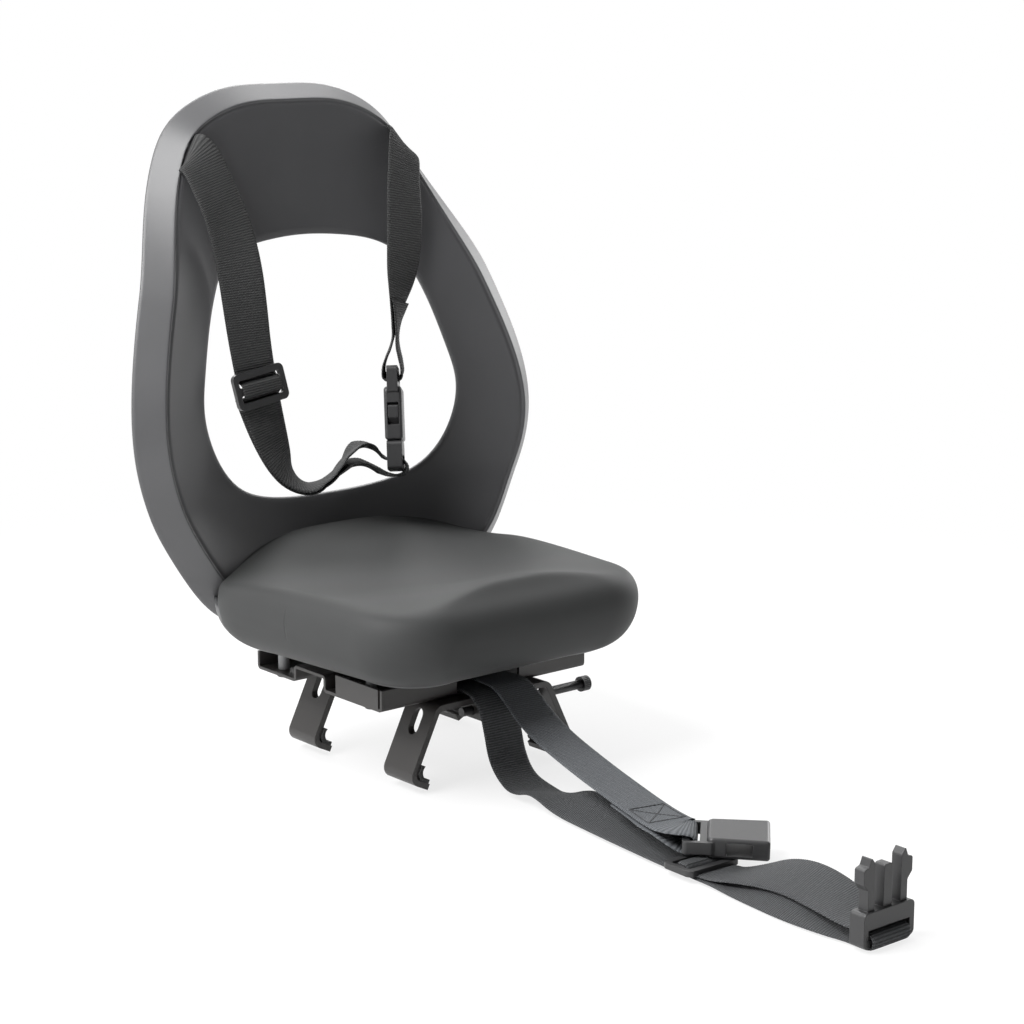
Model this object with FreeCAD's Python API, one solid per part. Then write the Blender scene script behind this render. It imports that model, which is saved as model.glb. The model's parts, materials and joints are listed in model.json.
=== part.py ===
import FreeCAD, Part
import math
import os

from FreeCAD import Matrix, Vector

# Rear child bicycle seat. Millimetres; +X is the viewer's right, the child faces -Y, +Z is up.
# The origin is the middle of the rack: the underside of the folded pan lies in the plane z = 0.

# Seat shell: one plastic moulding with a back wall, a flared rim and a shallow tray.
SHELL_WALL = 3.5
BACK_FOOT_Y = 88.5            # front face of the back wall on the centre line, carried down to z = 0
BACK_LEAN = 0.1337            # metres back for each metre up
BACK_DISH = 0.0019            # sideways curl of the back wall, y falls by this times x squared
DISH_FULL_Z = 255.0           # the curl is full below this height
DISH_FLAT_Z = 338.0           # and gone above this one
PLAN_REAR_HALF = 124.0        # half width of the tray at the back
BACK_OUTLINE = [(0, 362), (34, 361), (62, 353), (81, 340), (93, 321), (113.5, 272),
                (136, 210), (145.5, 144), (PLAN_REAR_HALF + 1, 88), (PLAN_REAR_HALF - 26, 52)]
WINDOW_OUTLINE = [(0, 273), (31, 271), (54, 266.5), (70, 258), (82, 241), (99, 192),
                  (103.5, 169), (99.6, 147), (76, 115), (45, 104), (0, 101)]
RIM_WIDTH = 22.5
RIM_FLARE_TOP = 27.0          # degrees outward from straight back, over the head
RIM_FLARE_SIDE = 47.0         # the same, down the sides
RIM_STATIONS = 31
RIM_ROOT = 3.0                # how far the rim's root reaches behind the wall
ROOT_COVER = 0.4              # skin of wall in front of that root
WALL_TRIM = 1.2               # the wall ends this far inside the crease, within the root
SLOT_TOP_Z = 345.0            # upper end of the harness slot in the rim
SLOT_WIDTH = 7.0
SLOT_MARGIN = 5.0             # slot length beyond the webbing's width

# Tray and cushion share one plan outline, drawn in by an inset at each height.
TRAY_FLOOR_Z = 16.0
PLAN_FRONT_HALF = 106.0
PLAN_REAR_Y = 98.0
PLAN_FRONT_Y = -117.0
PLAN_REAR_RADIUS = 52.0
PLAN_FRONT_RADIUS = 48.0
TRAY_LEVELS = [(0, 44), (1.5, 32), (7, 16), (17, 5), (31, 0)]
CUSHION_LEVELS = [(31, 0), (42, 0.5), (50, 5), (56, 13), (72, 30)]
PARTING_REAR_Y = 47.0
PARTING_REAR_Z = 47.0         # height of the tray's edge at that depth
PARTING_SLOPE = 0.135         # the edge falls towards the front
SIT_ROWS = [(-0.037, 78, 68, 1), (0.042, 80, 70, 1), (0.126, 78.5, 71, 1), (0.265, 71.5, 71, 0.5),
            (0.442, 67, 71, 0), (0.628, 68, 70, 0), (0.814, 74, 68.5, 0), (1.02, 82.5, 66, 0)]
SIT_COLUMNS = 13
SIT_SIDE = 100.0              # the rows' side heights hold this far from the middle
SIT_CREST = (0.1, 0.95)       # the front crest falls between these shares of that distance
CUSHION_GAP = 0.4

# Mounting pan: folded sheet steel, open at the ends of its hat.
PAN_SHEET = 2.0
PAN_WIDTH = 166.0
PAN_LENGTH = 136.0
PAN_BEND = 2.0                # bend radius on the sheet's middle
PAN_REAR_UPSTAND = 12.0
PAN_FRONT_WALL = 14.0
HAT_REAR_Y = 26.0
HAT_TOP_LENGTH = 32.0
HAT_RISE = 9.0
CHANNEL_SIDE_LENGTH = 44.0
CORNER_SLIT = 6.0             # open corner between the front wall and a side plate
NOTCH_LEFT = -24.0
NOTCH_RIGHT = 27.0

# Pan bolts with spacer tubes, one at each corner.
BOLT_RADIUS = 2.5
BOLT_HEAD_RADIUS = 4.75
BOLT_HEAD_HEIGHT = 3.2
BOLT_SOCKET_RADIUS = 2.2
BOLT_EDGE = 9.0
BOLT_REAR_EDGE = 17.0
BOLT_FRONT_EDGE = 24.0
BOLT_BITE = 7.0
SPACER_RADIUS = 3.8
BOSS_RADIUS = 8.0
BOSS_CAP = 3.0
HOLE_PLAY = 0.1

# Rack clamps: a fixed hook and a sliding jaw under each end of the pan, bent from the same strip.
BAR_THICKNESS = 4.0
BAR_WIDTH = 29.0
BAR_FRONT_EDGE = 7.5          # a bar's middle, in from the pan's front edge
BAR_REAR_EDGE = 25.5          # and in from its rear edge
BEND_RADIUS = 6.0
SPLAY = 26.0                  # degrees that a shank leans out from plumb
FOOT_RADIUS = 5.0
FOOT_TURN = 90.0
LIP = 9.0
FIXED_BEND_X = -42.0
JAW_BEND_X = 40.0
CLAMP_DEPTH = 53.0            # pan underside to the lips' lowest edge
SLIDE_GAP = 0.3
NUT_TAB_X = -6.0
JAW_TAB_X = 5.0
TAB_DROP = 16.2
NUT_TAB_SNIP = 9.0            # corner cut off each nut tab
SHANK_SLOT_LENGTH = 15.5
SHANK_SLOT_WIDTH = 9.0
SHANK_SLOT_LIFT = 1.5         # slot middle above the screw
JAW_TRAVEL_IN = 3.5
JAW_TRAVEL_OUT = 15.0

# Jaw pads: moulded corner blocks bonded inside the feet, hollowed for the rail.
RAIL_RADIUS = 5.0
PAD_LENGTH = 32.0
PAD_WALL = 2.0
PAD_REACH = 9.5
PAD_CORNER = 3.2
PAD_EDGE = 2.3
PAD_PLAY = 0.05

# Rivets fix each bar to the pan; one with a long shoulder steers each jaw's slot.
RIVET_OUTER_X = -35.0
RIVET_INNER_X = -18.0
GUIDE_X = 30.0
RIVET_RADIUS = 2.5
RIVET_COLLAR = 3.2
GUIDE_SHOULDER = 2.6
RIVET_HEAD_RADIUS = 4.2
RIVET_HEAD_HEIGHT = 1.8
RIVET_HEAD_BEVEL = 1.0
RIVET_SINK = 3.5              # radius of the flush upper end in the pan

# Clamp screws, along X, and the square nuts welded to the tabs.
SCREW_RADIUS = 3.0
SCREW_Z = -13.5
SCREW_PLAY = 0.4              # in the jaw's tab
SCREW_END_X = -16.0
SCREW_HEAD_X = 84.0
SCREW_HEAD_RADIUS = 5.0
SCREW_HEAD_LENGTH = 6.0
SCREW_SOCKET_WIDTH = 5.0
SCREW_SOCKET_DEPTH = 3.2
NUT_WIDTH = 10.0
NUT_THICKNESS = 3.0

# Webbing, buckles and sliders.
STRAP_WIDTH = 30.0
STRAP_THICKNESS = 1.8
STRAP_GAP = 0.3
BUCKLE_THICKNESS = 12.0
BUCKLE_SIDE = 4.5             # plastic beside the webbing
SOCKET_LENGTH = 36.0
SOCKET_TAIL = 14.0
SOCKET_WALL = 2.2
CLIP_BASE = 20.0
PRONG_LENGTH = 29.0
PRONG_PLAY = 0.4
STRAP_HOLE = 5.5
STRAP_BAR = 4.5
SLIDER_LENGTH = 24.0
SLIDER_THICKNESS = 3.5
SLIDER_BAR = 5.0
STOP_RADIUS = 3.0

# Routes of the webbing: points on its middle, each with the direction of its width.
CHEST_LEFT_ROUTE = [((-84.1, 134.4, 327.9), (-0.55, -0.24, -0.8)),
                    ((-85.6, 130.3, 330.2), (-0.55, -0.24, -0.8)),
                    ((-86, 126, 330.5), (-0.6, -0.24, -0.75)), ((-83.5, 120.5, 325), (-0.72, -0.1, -0.68)),
                    ((-80.5, 115, 313), (-0.85, 0, -0.52)), ((-79.5, 110.5, 299), (-0.93, 0, -0.37)),
                    ((-79.5, 107, 285), (-0.96, 0, -0.28)),
                    ((-75, 100.5, 250), (-0.98, 0, -0.2)), ((-69, 96, 217), (-0.98, 0, -0.2)),
                    ((-59, 85, 152), (-0.98, 0.02, -0.2)),
                    ((-46, 80, 128), (-0.7, 0.6, -0.35)), ((-25, 77, 115), (-0.3, 0.9, -0.2)),
                    ((-5, 80, 112.5), (0, 1, 0)), ((13, 87, 115), (0.1, 1, -0.05)),
                    ((27, 90.5, 119), (0.4, 0.9, -0.1)), ((34.9, 83.2, 120.8), (0.63, 0.74, -0.24)),
                    ((40.4, 78.9, 121.6), (0.63, 0.74, -0.24))]
CHEST_RIGHT_ROUTE = [((84.1, 134.4, 327.9), (0.55, -0.24, -0.8)), ((85.6, 130.3, 330.2), (0.55, -0.24, -0.8)),
                     ((86, 126, 330.5), (0.6, -0.24, -0.75)), ((83.5, 120.5, 325), (0.72, -0.1, -0.68)),
                     ((80, 115, 313), (0.85, 0, -0.52)), ((77.5, 110.5, 299), (0.95, 0, -0.3)),
                     ((75, 106, 282), (1, 0, -0.1)),
                     ((67, 100, 244), (1, 0, 0)), ((58, 96.5, 214), (0.86, 0.4, 0)),
                     ((48.5, 92, 184), (0.64, 0.77, 0))]
LAP_SHORT_ROUTE = [((10, -42, 5.4), (1, 0, 0)), ((10, -69, 5.4), (1, 0, 0)),
                   ((10.4, -78, 4.2), (1, 0, 0)), ((10.8, -88, -2.5), (1, 0, 0)),
                   ((7.5, -114, -17), (1, -0.1, 0)), ((0, -164, -27), (1, -0.15, 0)),
                   ((-7, -209, -34), (1, -0.1, 0)), ((-12, -235, -36.5), (1, 0, 0)),
                   ((-17.5, -252, -35.6), (0.97, 0.05, 0)), ((-19.8, -262.3, -34.4), (0.85, 0.5, 0)),
                   ((-16.2, -267.8, -34.4), (0.71, 0.7, 0)), ((-13.7, -270.3, -36.4), (0.71, 0.7, 0)),
                   ((-13.2, -270.8, -41), (0.71, 0.7, 0))]
LAP_LONG_ROUTE = [((-7, -42, 3.2), (1, 0, 0)), ((-7, -69, 3.2), (1, 0, 0)),
                  ((-7, -78, 1.6), (1, 0, 0)), ((-7, -86, -6), (1, 0, 0)),
                  ((-7, -90.5, -20), (1, 0, 0)), ((-7.5, -95, -35), (1, 0, 0)),
                  ((-8, -105, -45), (1, 0, 0)), ((-9.5, -122, -49), (1, 0, 0)),
                  ((-12.5, -152, -50.5), (1, -0.1, 0)), ((-16.5, -192, -51.2), (1, -0.1, 0)),
                  ((-20, -231, -51.6), (1, -0.1, 0)), ((-23, -269, -51.7), (1, -0.1, 0)),
                  ((-24, -300, -51.7), (1, -0.05, 0)), ((-27, -335, -51.7), (1, -0.1, 0)),
                  ((-31, -368, -51.7), (1, -0.1, 0)), ((-30, -395, -51.7), (1, 0.1, 0)),
                  ((-27, -416.4, -51.7), (1, 0.1, 0))]

# Where each buckle and slider lies: middle of its mouth, mouth direction, width direction.
CHEST_BUCKLE_AT = ((42, 81.5, 134), (-0.125, -0.205, -0.971), (0.64, 0.77, 0))
LAP_SOCKET_AT = ((16.5, -301, -41), (0.70, -0.71, -0.02), (0.71, 0.70, 0))
LAP_CLIP_AT = ((-26, -424, -32.2), (0, 0, -1), (1, 0, 0))
CHEST_SLIDER_AT = (-63.5, 90, 181)
LAP_SLIDER_AT = (-23.6, -286, -51.7)

# Values that follow from the sizes above.
PAN_HALF = PAN_WIDTH / 2
PAN_END = PAN_LENGTH / 2
BAR_CENTRES = {"front": BAR_FRONT_EDGE - PAN_END, "rear": PAN_END - BAR_REAR_EDGE}
BAR_MIDDLE_Z = -SLIDE_GAP - BAR_THICKNESS / 2
LEAN = math.radians(SPLAY)
FOOT_CENTRE_Z = (-CLAMP_DEPTH + (FOOT_RADIUS + BAR_THICKNESS / 2) * math.cos(LEAN) + LIP * math.sin(LEAN))
BOLT_SPOTS = [(side * (PAN_HALF - BOLT_EDGE), y) for side in (-1, 1)
              for y in (PAN_END - BOLT_REAR_EDGE, BOLT_FRONT_EDGE - PAN_END)]
BUCKLE_HALF = STRAP_WIDTH / 2 + BUCKLE_SIDE
CAVITY_HALF = BUCKLE_HALF - 4.0
BEYOND = 3 * PLAN_REAR_HALF    # reach of a cutting block

X_AXIS = Vector(1, 0, 0)
Y_AXIS = Vector(0, 1, 0)
Z_AXIS = Vector(0, 0, 1)
HERE = Vector(0, 0, 0)


def in_xz(u, v):
    return Vector(u, 0, v)


def in_yz(u, v):
    return Vector(0, u, v)


def in_xy(u, v):
    return Vector(u, v, 0)


def unit(vector):
    return Vector(vector) / Vector(vector).Length


def block(low, high):
    size = Vector(high) - Vector(low)
    return Part.makeBox(size.x, size.y, size.z, Vector(low))


def mirrored(shape):
    return shape.mirror(HERE, X_AXIS)


def fold(to_space, start, heading, moves, low, high):
    """Face of a strip bent along straight runs and tangent arcs.

    A move is (length,) or (radius, degrees), left turns positive; low and high are the strip's
    two sides, measured to the left of the path.
    """
    sides = {low: [], high: []}
    for offset, edges in sides.items():
        u, v = start
        angle = math.radians(heading)
        for move in moves:
            normal = (-math.sin(angle), math.cos(angle))
            first = to_space(u + offset * normal[0], v + offset * normal[1])
            if len(move) == 1:
                u += move[0] * math.cos(angle)
                v += move[0] * math.sin(angle)
                last = to_space(u + offset * normal[0], v + offset * normal[1])
                edges.append(Part.LineSegment(first, last).toShape())
                continue
            radius, degrees = move
            side = math.copysign(1, degrees)
            centre = (u + side * radius * normal[0], v + side * radius * normal[1])
            reach = radius - side * offset
            points = []
            for share in (0.5, 1.0):
                turned = angle + math.radians(degrees) * share
                points.append(to_space(centre[0] + side * reach * math.sin(turned),
                                       centre[1] - side * reach * math.cos(turned)))
            edges.append(Part.Arc(first, points[0], points[1]).toShape())
            angle += math.radians(degrees)
            u = centre[0] + side * radius * math.sin(angle)
            v = centre[1] - side * radius * math.cos(angle)
    ends = [Part.LineSegment(sides[low][i].Vertexes[i].Point, sides[high][i].Vertexes[i].Point).toShape()
            for i in (0, -1)]
    edges = sides[low] + sides[high] + ends
    return Part.Face(Part.Wire(Part.sortEdges(edges)[0]))


def rounded(to_space, corners):
    """Closed wire through corners (u, v, radius), each rounded by its radius."""
    edges = []
    joints = []
    for i, (u, v, radius) in enumerate(corners):
        here = Vector(u, v, 0)
        back = unit(Vector(*corners[i - 1][:2], 0) - here)
        on = unit(Vector(*corners[(i + 1) % len(corners)][:2], 0) - here)
        half = back.getAngle(on) / 2
        reach = radius / math.tan(half)
        middle = here + unit(back + on) * (radius / math.sin(half) - radius)
        joints.append((here + back * reach, middle, here + on * reach))
    for i, (enter, middle, leave) in enumerate(joints):
        before = joints[i - 1][2]
        points = [to_space(p.x, p.y) for p in (before, enter, middle, leave)]
        edges.append(Part.LineSegment(points[0], points[1]).toShape())
        edges.append(Part.Arc(points[1], points[2], points[3]).toShape())
    return Part.Wire(edges)


def slot_wire(to_space, u, v, length, width):
    half = length / 2
    r = width / 2
    end = half - r
    edges = [Part.LineSegment(to_space(u - r, v - end), to_space(u - r, v + end)).toShape(),
             Part.Arc(to_space(u - r, v + end), to_space(u, v + half), to_space(u + r, v + end)).toShape(),
             Part.LineSegment(to_space(u + r, v + end), to_space(u + r, v - end)).toShape(),
             Part.Arc(to_space(u + r, v - end), to_space(u, v - half), to_space(u - r, v - end)).toShape()]
    return Part.Wire(edges)


def prism(wire, start, travel):
    return Part.Face(wire).translated(start).extrude(travel)


def tube(radius, low, high, axis=Z_AXIS):
    return Part.makeCylinder(radius, (high - low).Length, low, axis)


def placed(shape, at):
    """Move a buckle piece, drawn with its mouth at the origin facing +Y, to its place."""
    point, mouth, width = (Vector(*v) for v in at)
    y = unit(mouth)
    x = unit(width - y * width.dot(y))
    z = x.cross(y)
    frame = Matrix(x.x, y.x, z.x, point.x, x.y, y.y, z.y, point.y, x.z, y.z, z.z, point.z, 0, 0, 0, 1)
    moved = shape.copy()
    moved.Placement = FreeCAD.Placement(frame)
    return moved


def ribbon(route):
    """Webbing through the stations of a route, a flat section turned square to the path at each."""
    sections = []
    points = [Vector(*point) for point, _ in route]
    for i, (_, width) in enumerate(route):
        along = unit(points[min(i + 1, len(points) - 1)] - points[max(i - 1, 0)])
        across = unit(Vector(*width) - along * Vector(*width).dot(along))
        normal = along.cross(across) * (STRAP_THICKNESS / 2)
        across = across * (STRAP_WIDTH / 2)
        corners = [points[i] + across * a + normal * b for a, b in ((1, 1), (1, -1), (-1, -1), (-1, 1))]
        sections.append(Part.makePolygon(corners + corners[:1]))
    length = sum((b - a).Length for a, b in zip(points, points[1:]))
    solid = Part.makeLoft(sections, True, True)
    share = abs(solid.Volume) / (length * STRAP_WIDTH * STRAP_THICKNESS)
    print("webbing %.0f mm, volume over section times length %.3f" % (length, share))
    return solid


# Seat shell

def dish(z):
    share = (DISH_FLAT_Z - z) / (DISH_FLAT_Z - DISH_FULL_Z)
    return BACK_DISH * min(max(share, 0.0), 1.0)


def back_y(x, z):
    """Front face of the back wall: it leans back with height and curls forward to the sides."""
    return BACK_FOOT_Y + BACK_LEAN * z - dish(z) * x * x


def back_slab(front, rear):
    """Curved slab between two offsets from the front face, wider than the seat."""
    half = max(x for x, _ in BACK_OUTLINE) + RIM_WIDTH
    top = max(z for _, z in BACK_OUTLINE) + RIM_WIDTH
    levels = [10 + (top - 10) * i / 16 for i in range(17)]
    sections = []
    for z in levels:
        edges = []
        ends = []
        for shift in (front, rear):
            side = back_y(half, z) + shift
            crown = back_y(0, z) + shift + dish(z) * half * half
            curve = Part.BezierCurve()
            curve.setPoles([Vector(-half, side, z), Vector(0, crown, z), Vector(half, side, z)])
            edges.append(curve.toShape())
            ends.append((Vector(-half, side, z), Vector(half, side, z)))
        for i in (0, 1):
            edges.append(Part.LineSegment(ends[0][i], ends[1][i]).toShape())
        sections.append(Part.Wire(Part.sortEdges(edges)[0]))
    return Part.makeLoft(sections, True, False)


def outline_curve(points):
    """Smooth curve across both halves of an outline given for the right half, top to bottom."""
    left = [(-x, z) for x, z in reversed(points[1:])]
    curve = Part.BSplineCurve()
    curve.interpolate([Vector(x, 0, z) for x, z in left + points])
    return curve


def closed_curve(points):
    left = [(-x, z) for x, z in reversed(points[1:-1])]
    curve = Part.BSplineCurve()
    curve.interpolate([Vector(x, 0, z) for x, z in points + left], True)
    return Part.Wire(curve.toShape())


def rim_point(curve, parameter):
    """Point on the crease, its outward direction in the XZ plane and the rim's own direction."""
    spot = curve.value(parameter)
    out = outward(curve, parameter)
    point = Vector(spot.x, back_y(spot.x, spot.z), spot.z)
    share = min(max((point.z - DISH_FULL_Z) / (DISH_FLAT_Z - DISH_FULL_Z), 0.0), 1.0)
    flare = math.radians(RIM_FLARE_SIDE + (RIM_FLARE_TOP - RIM_FLARE_SIDE) * share)
    across = out * math.sin(flare) + Y_AXIS * math.cos(flare)
    behind = Y_AXIS * math.sin(flare) - out * math.cos(flare)
    return point, across, behind


def stations(curve):
    first = curve.FirstParameter
    span = curve.LastParameter - first
    return [first + span * i / (RIM_STATIONS - 1) for i in range(RIM_STATIONS)]


def outward(curve, parameter):
    """Direction out of the outline in the XZ plane, square to the curve."""
    along = curve.tangent(parameter)[0]
    return unit(Vector(-along.z, 0, along.x))


def trimmed_outline(curve):
    """Closed outline of the wall, a little inside the crease."""
    points = [curve.value(p) - outward(curve, p) * WALL_TRIM for p in stations(curve)]
    inside = Part.BSplineCurve()
    inside.interpolate(points)
    return Part.Wire([inside.toShape(), Part.LineSegment(points[-1], points[0]).toShape()])


def flared_rim(curve):
    """Band that runs out and back from the crease, with a root behind the wall's edge."""
    sections = []
    for parameter in stations(curve):
        point, across, behind = rim_point(curve, parameter)
        root = point - outward(curve, parameter) * RIM_ROOT
        front = back_y(root.x, root.z) + ROOT_COVER
        corners = [point, point + across * RIM_WIDTH, point + across * RIM_WIDTH + behind * SHELL_WALL,
                   Vector(root.x, front + SHELL_WALL, root.z), Vector(root.x, front, root.z)]
        sections.append(Part.makePolygon(corners + corners[:1]))
    return Part.makeLoft(sections, True, False)


def slot_frame(curve):
    """Middle of the right harness slot and its three directions: along, out through the rim, across."""
    steps = 400
    span = curve.LastParameter - curve.FirstParameter
    parameters = [curve.FirstParameter + span * (0.5 + 0.5 * i / steps) for i in range(steps)]
    upper = next(p for p in parameters if curve.value(p).z < SLOT_TOP_Z)
    below = [p for p in parameters if p > upper]
    lower = next(p for p in below if (curve.value(p) - curve.value(upper)).Length > slot_length())
    top = rim_point(curve, upper)[0]
    foot = rim_point(curve, lower)[0]
    along = unit(foot - top)
    across = rim_point(curve, (upper + lower) / 2)[1]
    through = unit(across.cross(along))
    return (top + foot) / 2, along, through, unit(along.cross(through))


def slot_length():
    return STRAP_WIDTH + SLOT_MARGIN


def harness_slot(curve):
    """Cutting block for the slot beside the crease, square to the rim."""
    middle, along, through, across = slot_frame(curve)
    length = slot_length()
    tool = block((-length / 2, -RIM_WIDTH, -SLOT_WIDTH / 2), (length / 2, RIM_WIDTH, SLOT_WIDTH / 2))
    frame = Matrix(along.x, through.x, across.x, middle.x, along.y, through.y, across.y, middle.y,
                   along.z, through.z, across.z, middle.z, 0, 0, 0, 1)
    tool.Placement = FreeCAD.Placement(frame)
    return tool


def plan(height, inset):
    """Plan outline of the seat, drawn in by an inset."""
    rear = PLAN_REAR_HALF - inset
    front = PLAN_FRONT_HALF - inset
    r_rear = max(PLAN_REAR_RADIUS - inset / 2, 8)
    r_front = max(PLAN_FRONT_RADIUS - inset / 2, 8)
    corners = [(rear, PLAN_REAR_Y - inset, r_rear), (-rear, PLAN_REAR_Y - inset, r_rear),
               (-front, PLAN_FRONT_Y + inset, r_front), (front, PLAN_FRONT_Y + inset, r_front)]
    return rounded(in_xy, corners).translated(Vector(0, 0, height))


def seat_form(levels, inset, lift):
    """Rounded body through the plan outlines at a list of (height, inset) levels."""
    sections = [plan(TRAY_FLOOR_Z + lift + height, inset + draw) for height, draw in levels]
    return Part.makeLoft(sections, True, False)


def above_parting(lift):
    """Half space above the sloping edge of the tray."""
    tilt = math.degrees(math.atan(PARTING_SLOPE))
    solid = block((-BEYOND, -BEYOND, 0), (BEYOND, BEYOND, BEYOND))
    solid.rotate(HERE, X_AXIS, tilt)
    solid.translate(Vector(0, 0, PARTING_REAR_Z + lift - PARTING_SLOPE * PARTING_REAR_Y))
    return solid


def tray():
    outer = seat_form(TRAY_LEVELS, 0, 0)
    inner = seat_form(TRAY_LEVELS, SHELL_WALL, SHELL_WALL)
    return outer.cut(inner).cut(above_parting(0))


def bolt_bosses(grow):
    top = TRAY_FLOOR_Z + BOLT_BITE + BOSS_CAP + grow
    return [tube(BOSS_RADIUS + grow, Vector(x, y, TRAY_FLOOR_Z), Vector(x, y, top)) for x, y in BOLT_SPOTS]


def strap_rib():
    """Rib under the tray that traps the sewn ends of the lap webbing on the pan."""
    low = LAP_SHORT_ROUTE[0][0][2] + STRAP_THICKNESS / 2 + STRAP_GAP
    y = LAP_SHORT_ROUTE[0][0][1] - STRAP_WIDTH / 2
    return block((NOTCH_LEFT, y - 4, low), (NOTCH_RIGHT, y + 4, TRAY_FLOOR_Z + SHELL_WALL / 2))


def seat_shell():
    curve = outline_curve(BACK_OUTLINE)
    wall = back_slab(0, SHELL_WALL).common(prism(trimmed_outline(curve), HERE, Y_AXIS * BEYOND))
    wall = wall.cut(prism(closed_curve(WINDOW_OUTLINE), HERE, Y_AXIS * BEYOND))
    skirt_half, skirt_top = BACK_OUTLINE[-1]
    middle = SHELL_WALL / 2
    skirt = back_slab(0, SHELL_WALL).common(
        block((-skirt_half, 0, TRAY_FLOOR_Z + middle), (skirt_half, BEYOND, skirt_top + 0.5)))
    skirt = skirt.common(seat_form(TRAY_LEVELS + CUSHION_LEVELS[1:], middle, middle))
    shell = wall.fuse([flared_rim(curve), tray(), skirt, strap_rib()] + bolt_bosses(0))
    slot = harness_slot(curve)
    holes = [tube(BOLT_RADIUS + HOLE_PLAY, Vector(x, y, TRAY_FLOOR_Z - 1),
                  Vector(x, y, TRAY_FLOOR_Z + BOLT_BITE)) for x, y in BOLT_SPOTS]
    return shell.cut([slot, mirrored(slot)] + holes).removeSplitter()


# Cushion

def sit_surface():
    """Smooth face through rows of heights, each (share of the seat's depth, middle, side, crest).

    Away from the middle a row rises with the square of the distance, or, by its crest share,
    falls along an S-curve.
    """
    half = PLAN_REAR_HALF + 11
    first, last = SIT_CREST
    rows = []
    for depth, middle, side, crest in SIT_ROWS:
        y = PLAN_FRONT_Y + depth * (PLAN_REAR_Y - PLAN_FRONT_Y)
        row = []
        for i in range(SIT_COLUMNS):
            x = half * (2 * i / (SIT_COLUMNS - 1) - 1)
            out = abs(x) / SIT_SIDE
            fall = min(max((out - first) / (last - first), 0), 1)
            share = crest * fall * fall * (3 - 2 * fall) + (1 - crest) * out * out
            row.append(Vector(x, y, middle + (side - middle) * share))
        rows.append(row)
    surface = Part.BSplineSurface()
    surface.interpolate(rows)
    return surface.toShape()


def seat_cushion():
    """Foam block with a moulded skin: dished to sit on, let into the tray."""
    body = seat_form(TRAY_LEVELS + CUSHION_LEVELS[1:], 0, 0)
    upper = body.common(above_parting(CUSHION_GAP))
    keep = SHELL_WALL + CUSHION_GAP
    lower = seat_form(TRAY_LEVELS, keep, keep).cut(above_parting(CUSHION_GAP))
    over = sit_surface().extrude(Z_AXIS * BEYOND)
    back = back_slab(-CUSHION_GAP, PLAN_REAR_HALF / 2)
    cushion = upper.fuse(lower).cut([over, back] + bolt_bosses(CUSHION_GAP))
    return max(cushion.removeSplitter().Solids, key=lambda solid: solid.Volume)


# Mounting pan and what bolts it to the tray

def mounting_pan():
    middle = PAN_SHEET / 2
    half = PAN_END
    rear_floor = half - middle - HAT_REAR_Y - 2 * PAN_BEND
    climb = HAT_RISE - 2 * PAN_BEND
    front_floor = HAT_REAR_Y - HAT_TOP_LENGTH - 2 * PAN_BEND + half - middle - PAN_BEND
    profile = fold(in_yz, (half - middle, PAN_REAR_UPSTAND), -90,
                   [(PAN_REAR_UPSTAND - middle - PAN_BEND,), (PAN_BEND, -90), (rear_floor,),
                    (PAN_BEND, -90), (climb,), (PAN_BEND, 90), (HAT_TOP_LENGTH - 2 * PAN_BEND,),
                    (PAN_BEND, 90), (climb,), (PAN_BEND, -90), (front_floor,), (PAN_BEND, -90),
                    (PAN_FRONT_WALL - middle - PAN_BEND,)], -middle, middle)
    pan = profile.translated(X_AXIS * -PAN_HALF).extrude(X_AXIS * PAN_WIDTH)
    for side in (-1, 1):
        edge = side * (PAN_HALF - middle)
        front = -half + CORNER_SLIT
        pan = pan.fuse(block((edge - middle, front, middle),
                             (edge + middle, front + CHANNEL_SIDE_LENGTH, PAN_FRONT_WALL)))
    notch = block((NOTCH_LEFT, -half - 1, PAN_SHEET), (NOTCH_RIGHT, -half + PAN_SHEET + 2 * PAN_BEND, BEYOND))
    holes = [tube(BOLT_RADIUS + HOLE_PLAY, Vector(x, y, -1), Vector(x, y, PAN_SHEET + 1))
             for x, y in BOLT_SPOTS]
    holes += [Part.makeCone(RIVET_RADIUS, RIVET_SINK, PAN_SHEET, Vector(x, y, 0))
              for x, y in rivet_spots((RIVET_OUTER_X, RIVET_INNER_X, GUIDE_X))]
    return pan.cut([notch] + holes).removeSplitter()


def pan_spacers():
    tubes = []
    for x, y in BOLT_SPOTS:
        ends = (Vector(x, y, PAN_SHEET), Vector(x, y, TRAY_FLOOR_Z))
        tubes.append(tube(SPACER_RADIUS, *ends).cut(tube(BOLT_RADIUS + HOLE_PLAY, *ends)))
    return Part.makeCompound(tubes)


def pan_bolts():
    bolts = []
    for x, y in BOLT_SPOTS:
        tip = TRAY_FLOOR_Z + BOLT_BITE - 1
        head = tube(BOLT_HEAD_RADIUS, Vector(x, y, -BOLT_HEAD_HEIGHT), Vector(x, y, 0))
        head = head.makeFillet(BOLT_HEAD_HEIGHT / 3, [head.Edges[2]])
        recess = tube(BOLT_SOCKET_RADIUS, Vector(x, y, -BOLT_HEAD_HEIGHT),
                      Vector(x, y, -BOLT_HEAD_HEIGHT / 3))
        bolts.append(head.cut(recess).fuse(tube(BOLT_RADIUS, Vector(x, y, 0), Vector(x, y, tip))))
    return Part.makeCompound([bolt.removeSplitter() for bolt in bolts])


# Rack clamps

def shank_length():
    """Shank run that brings the lip's edge to the clamp depth."""
    top = BAR_MIDDLE_Z - BEND_RADIUS * (1 - math.sin(LEAN))
    foot = FOOT_CENTRE_Z + FOOT_RADIUS * math.sin(LEAN)
    return (top - foot) / math.cos(LEAN)


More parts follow.
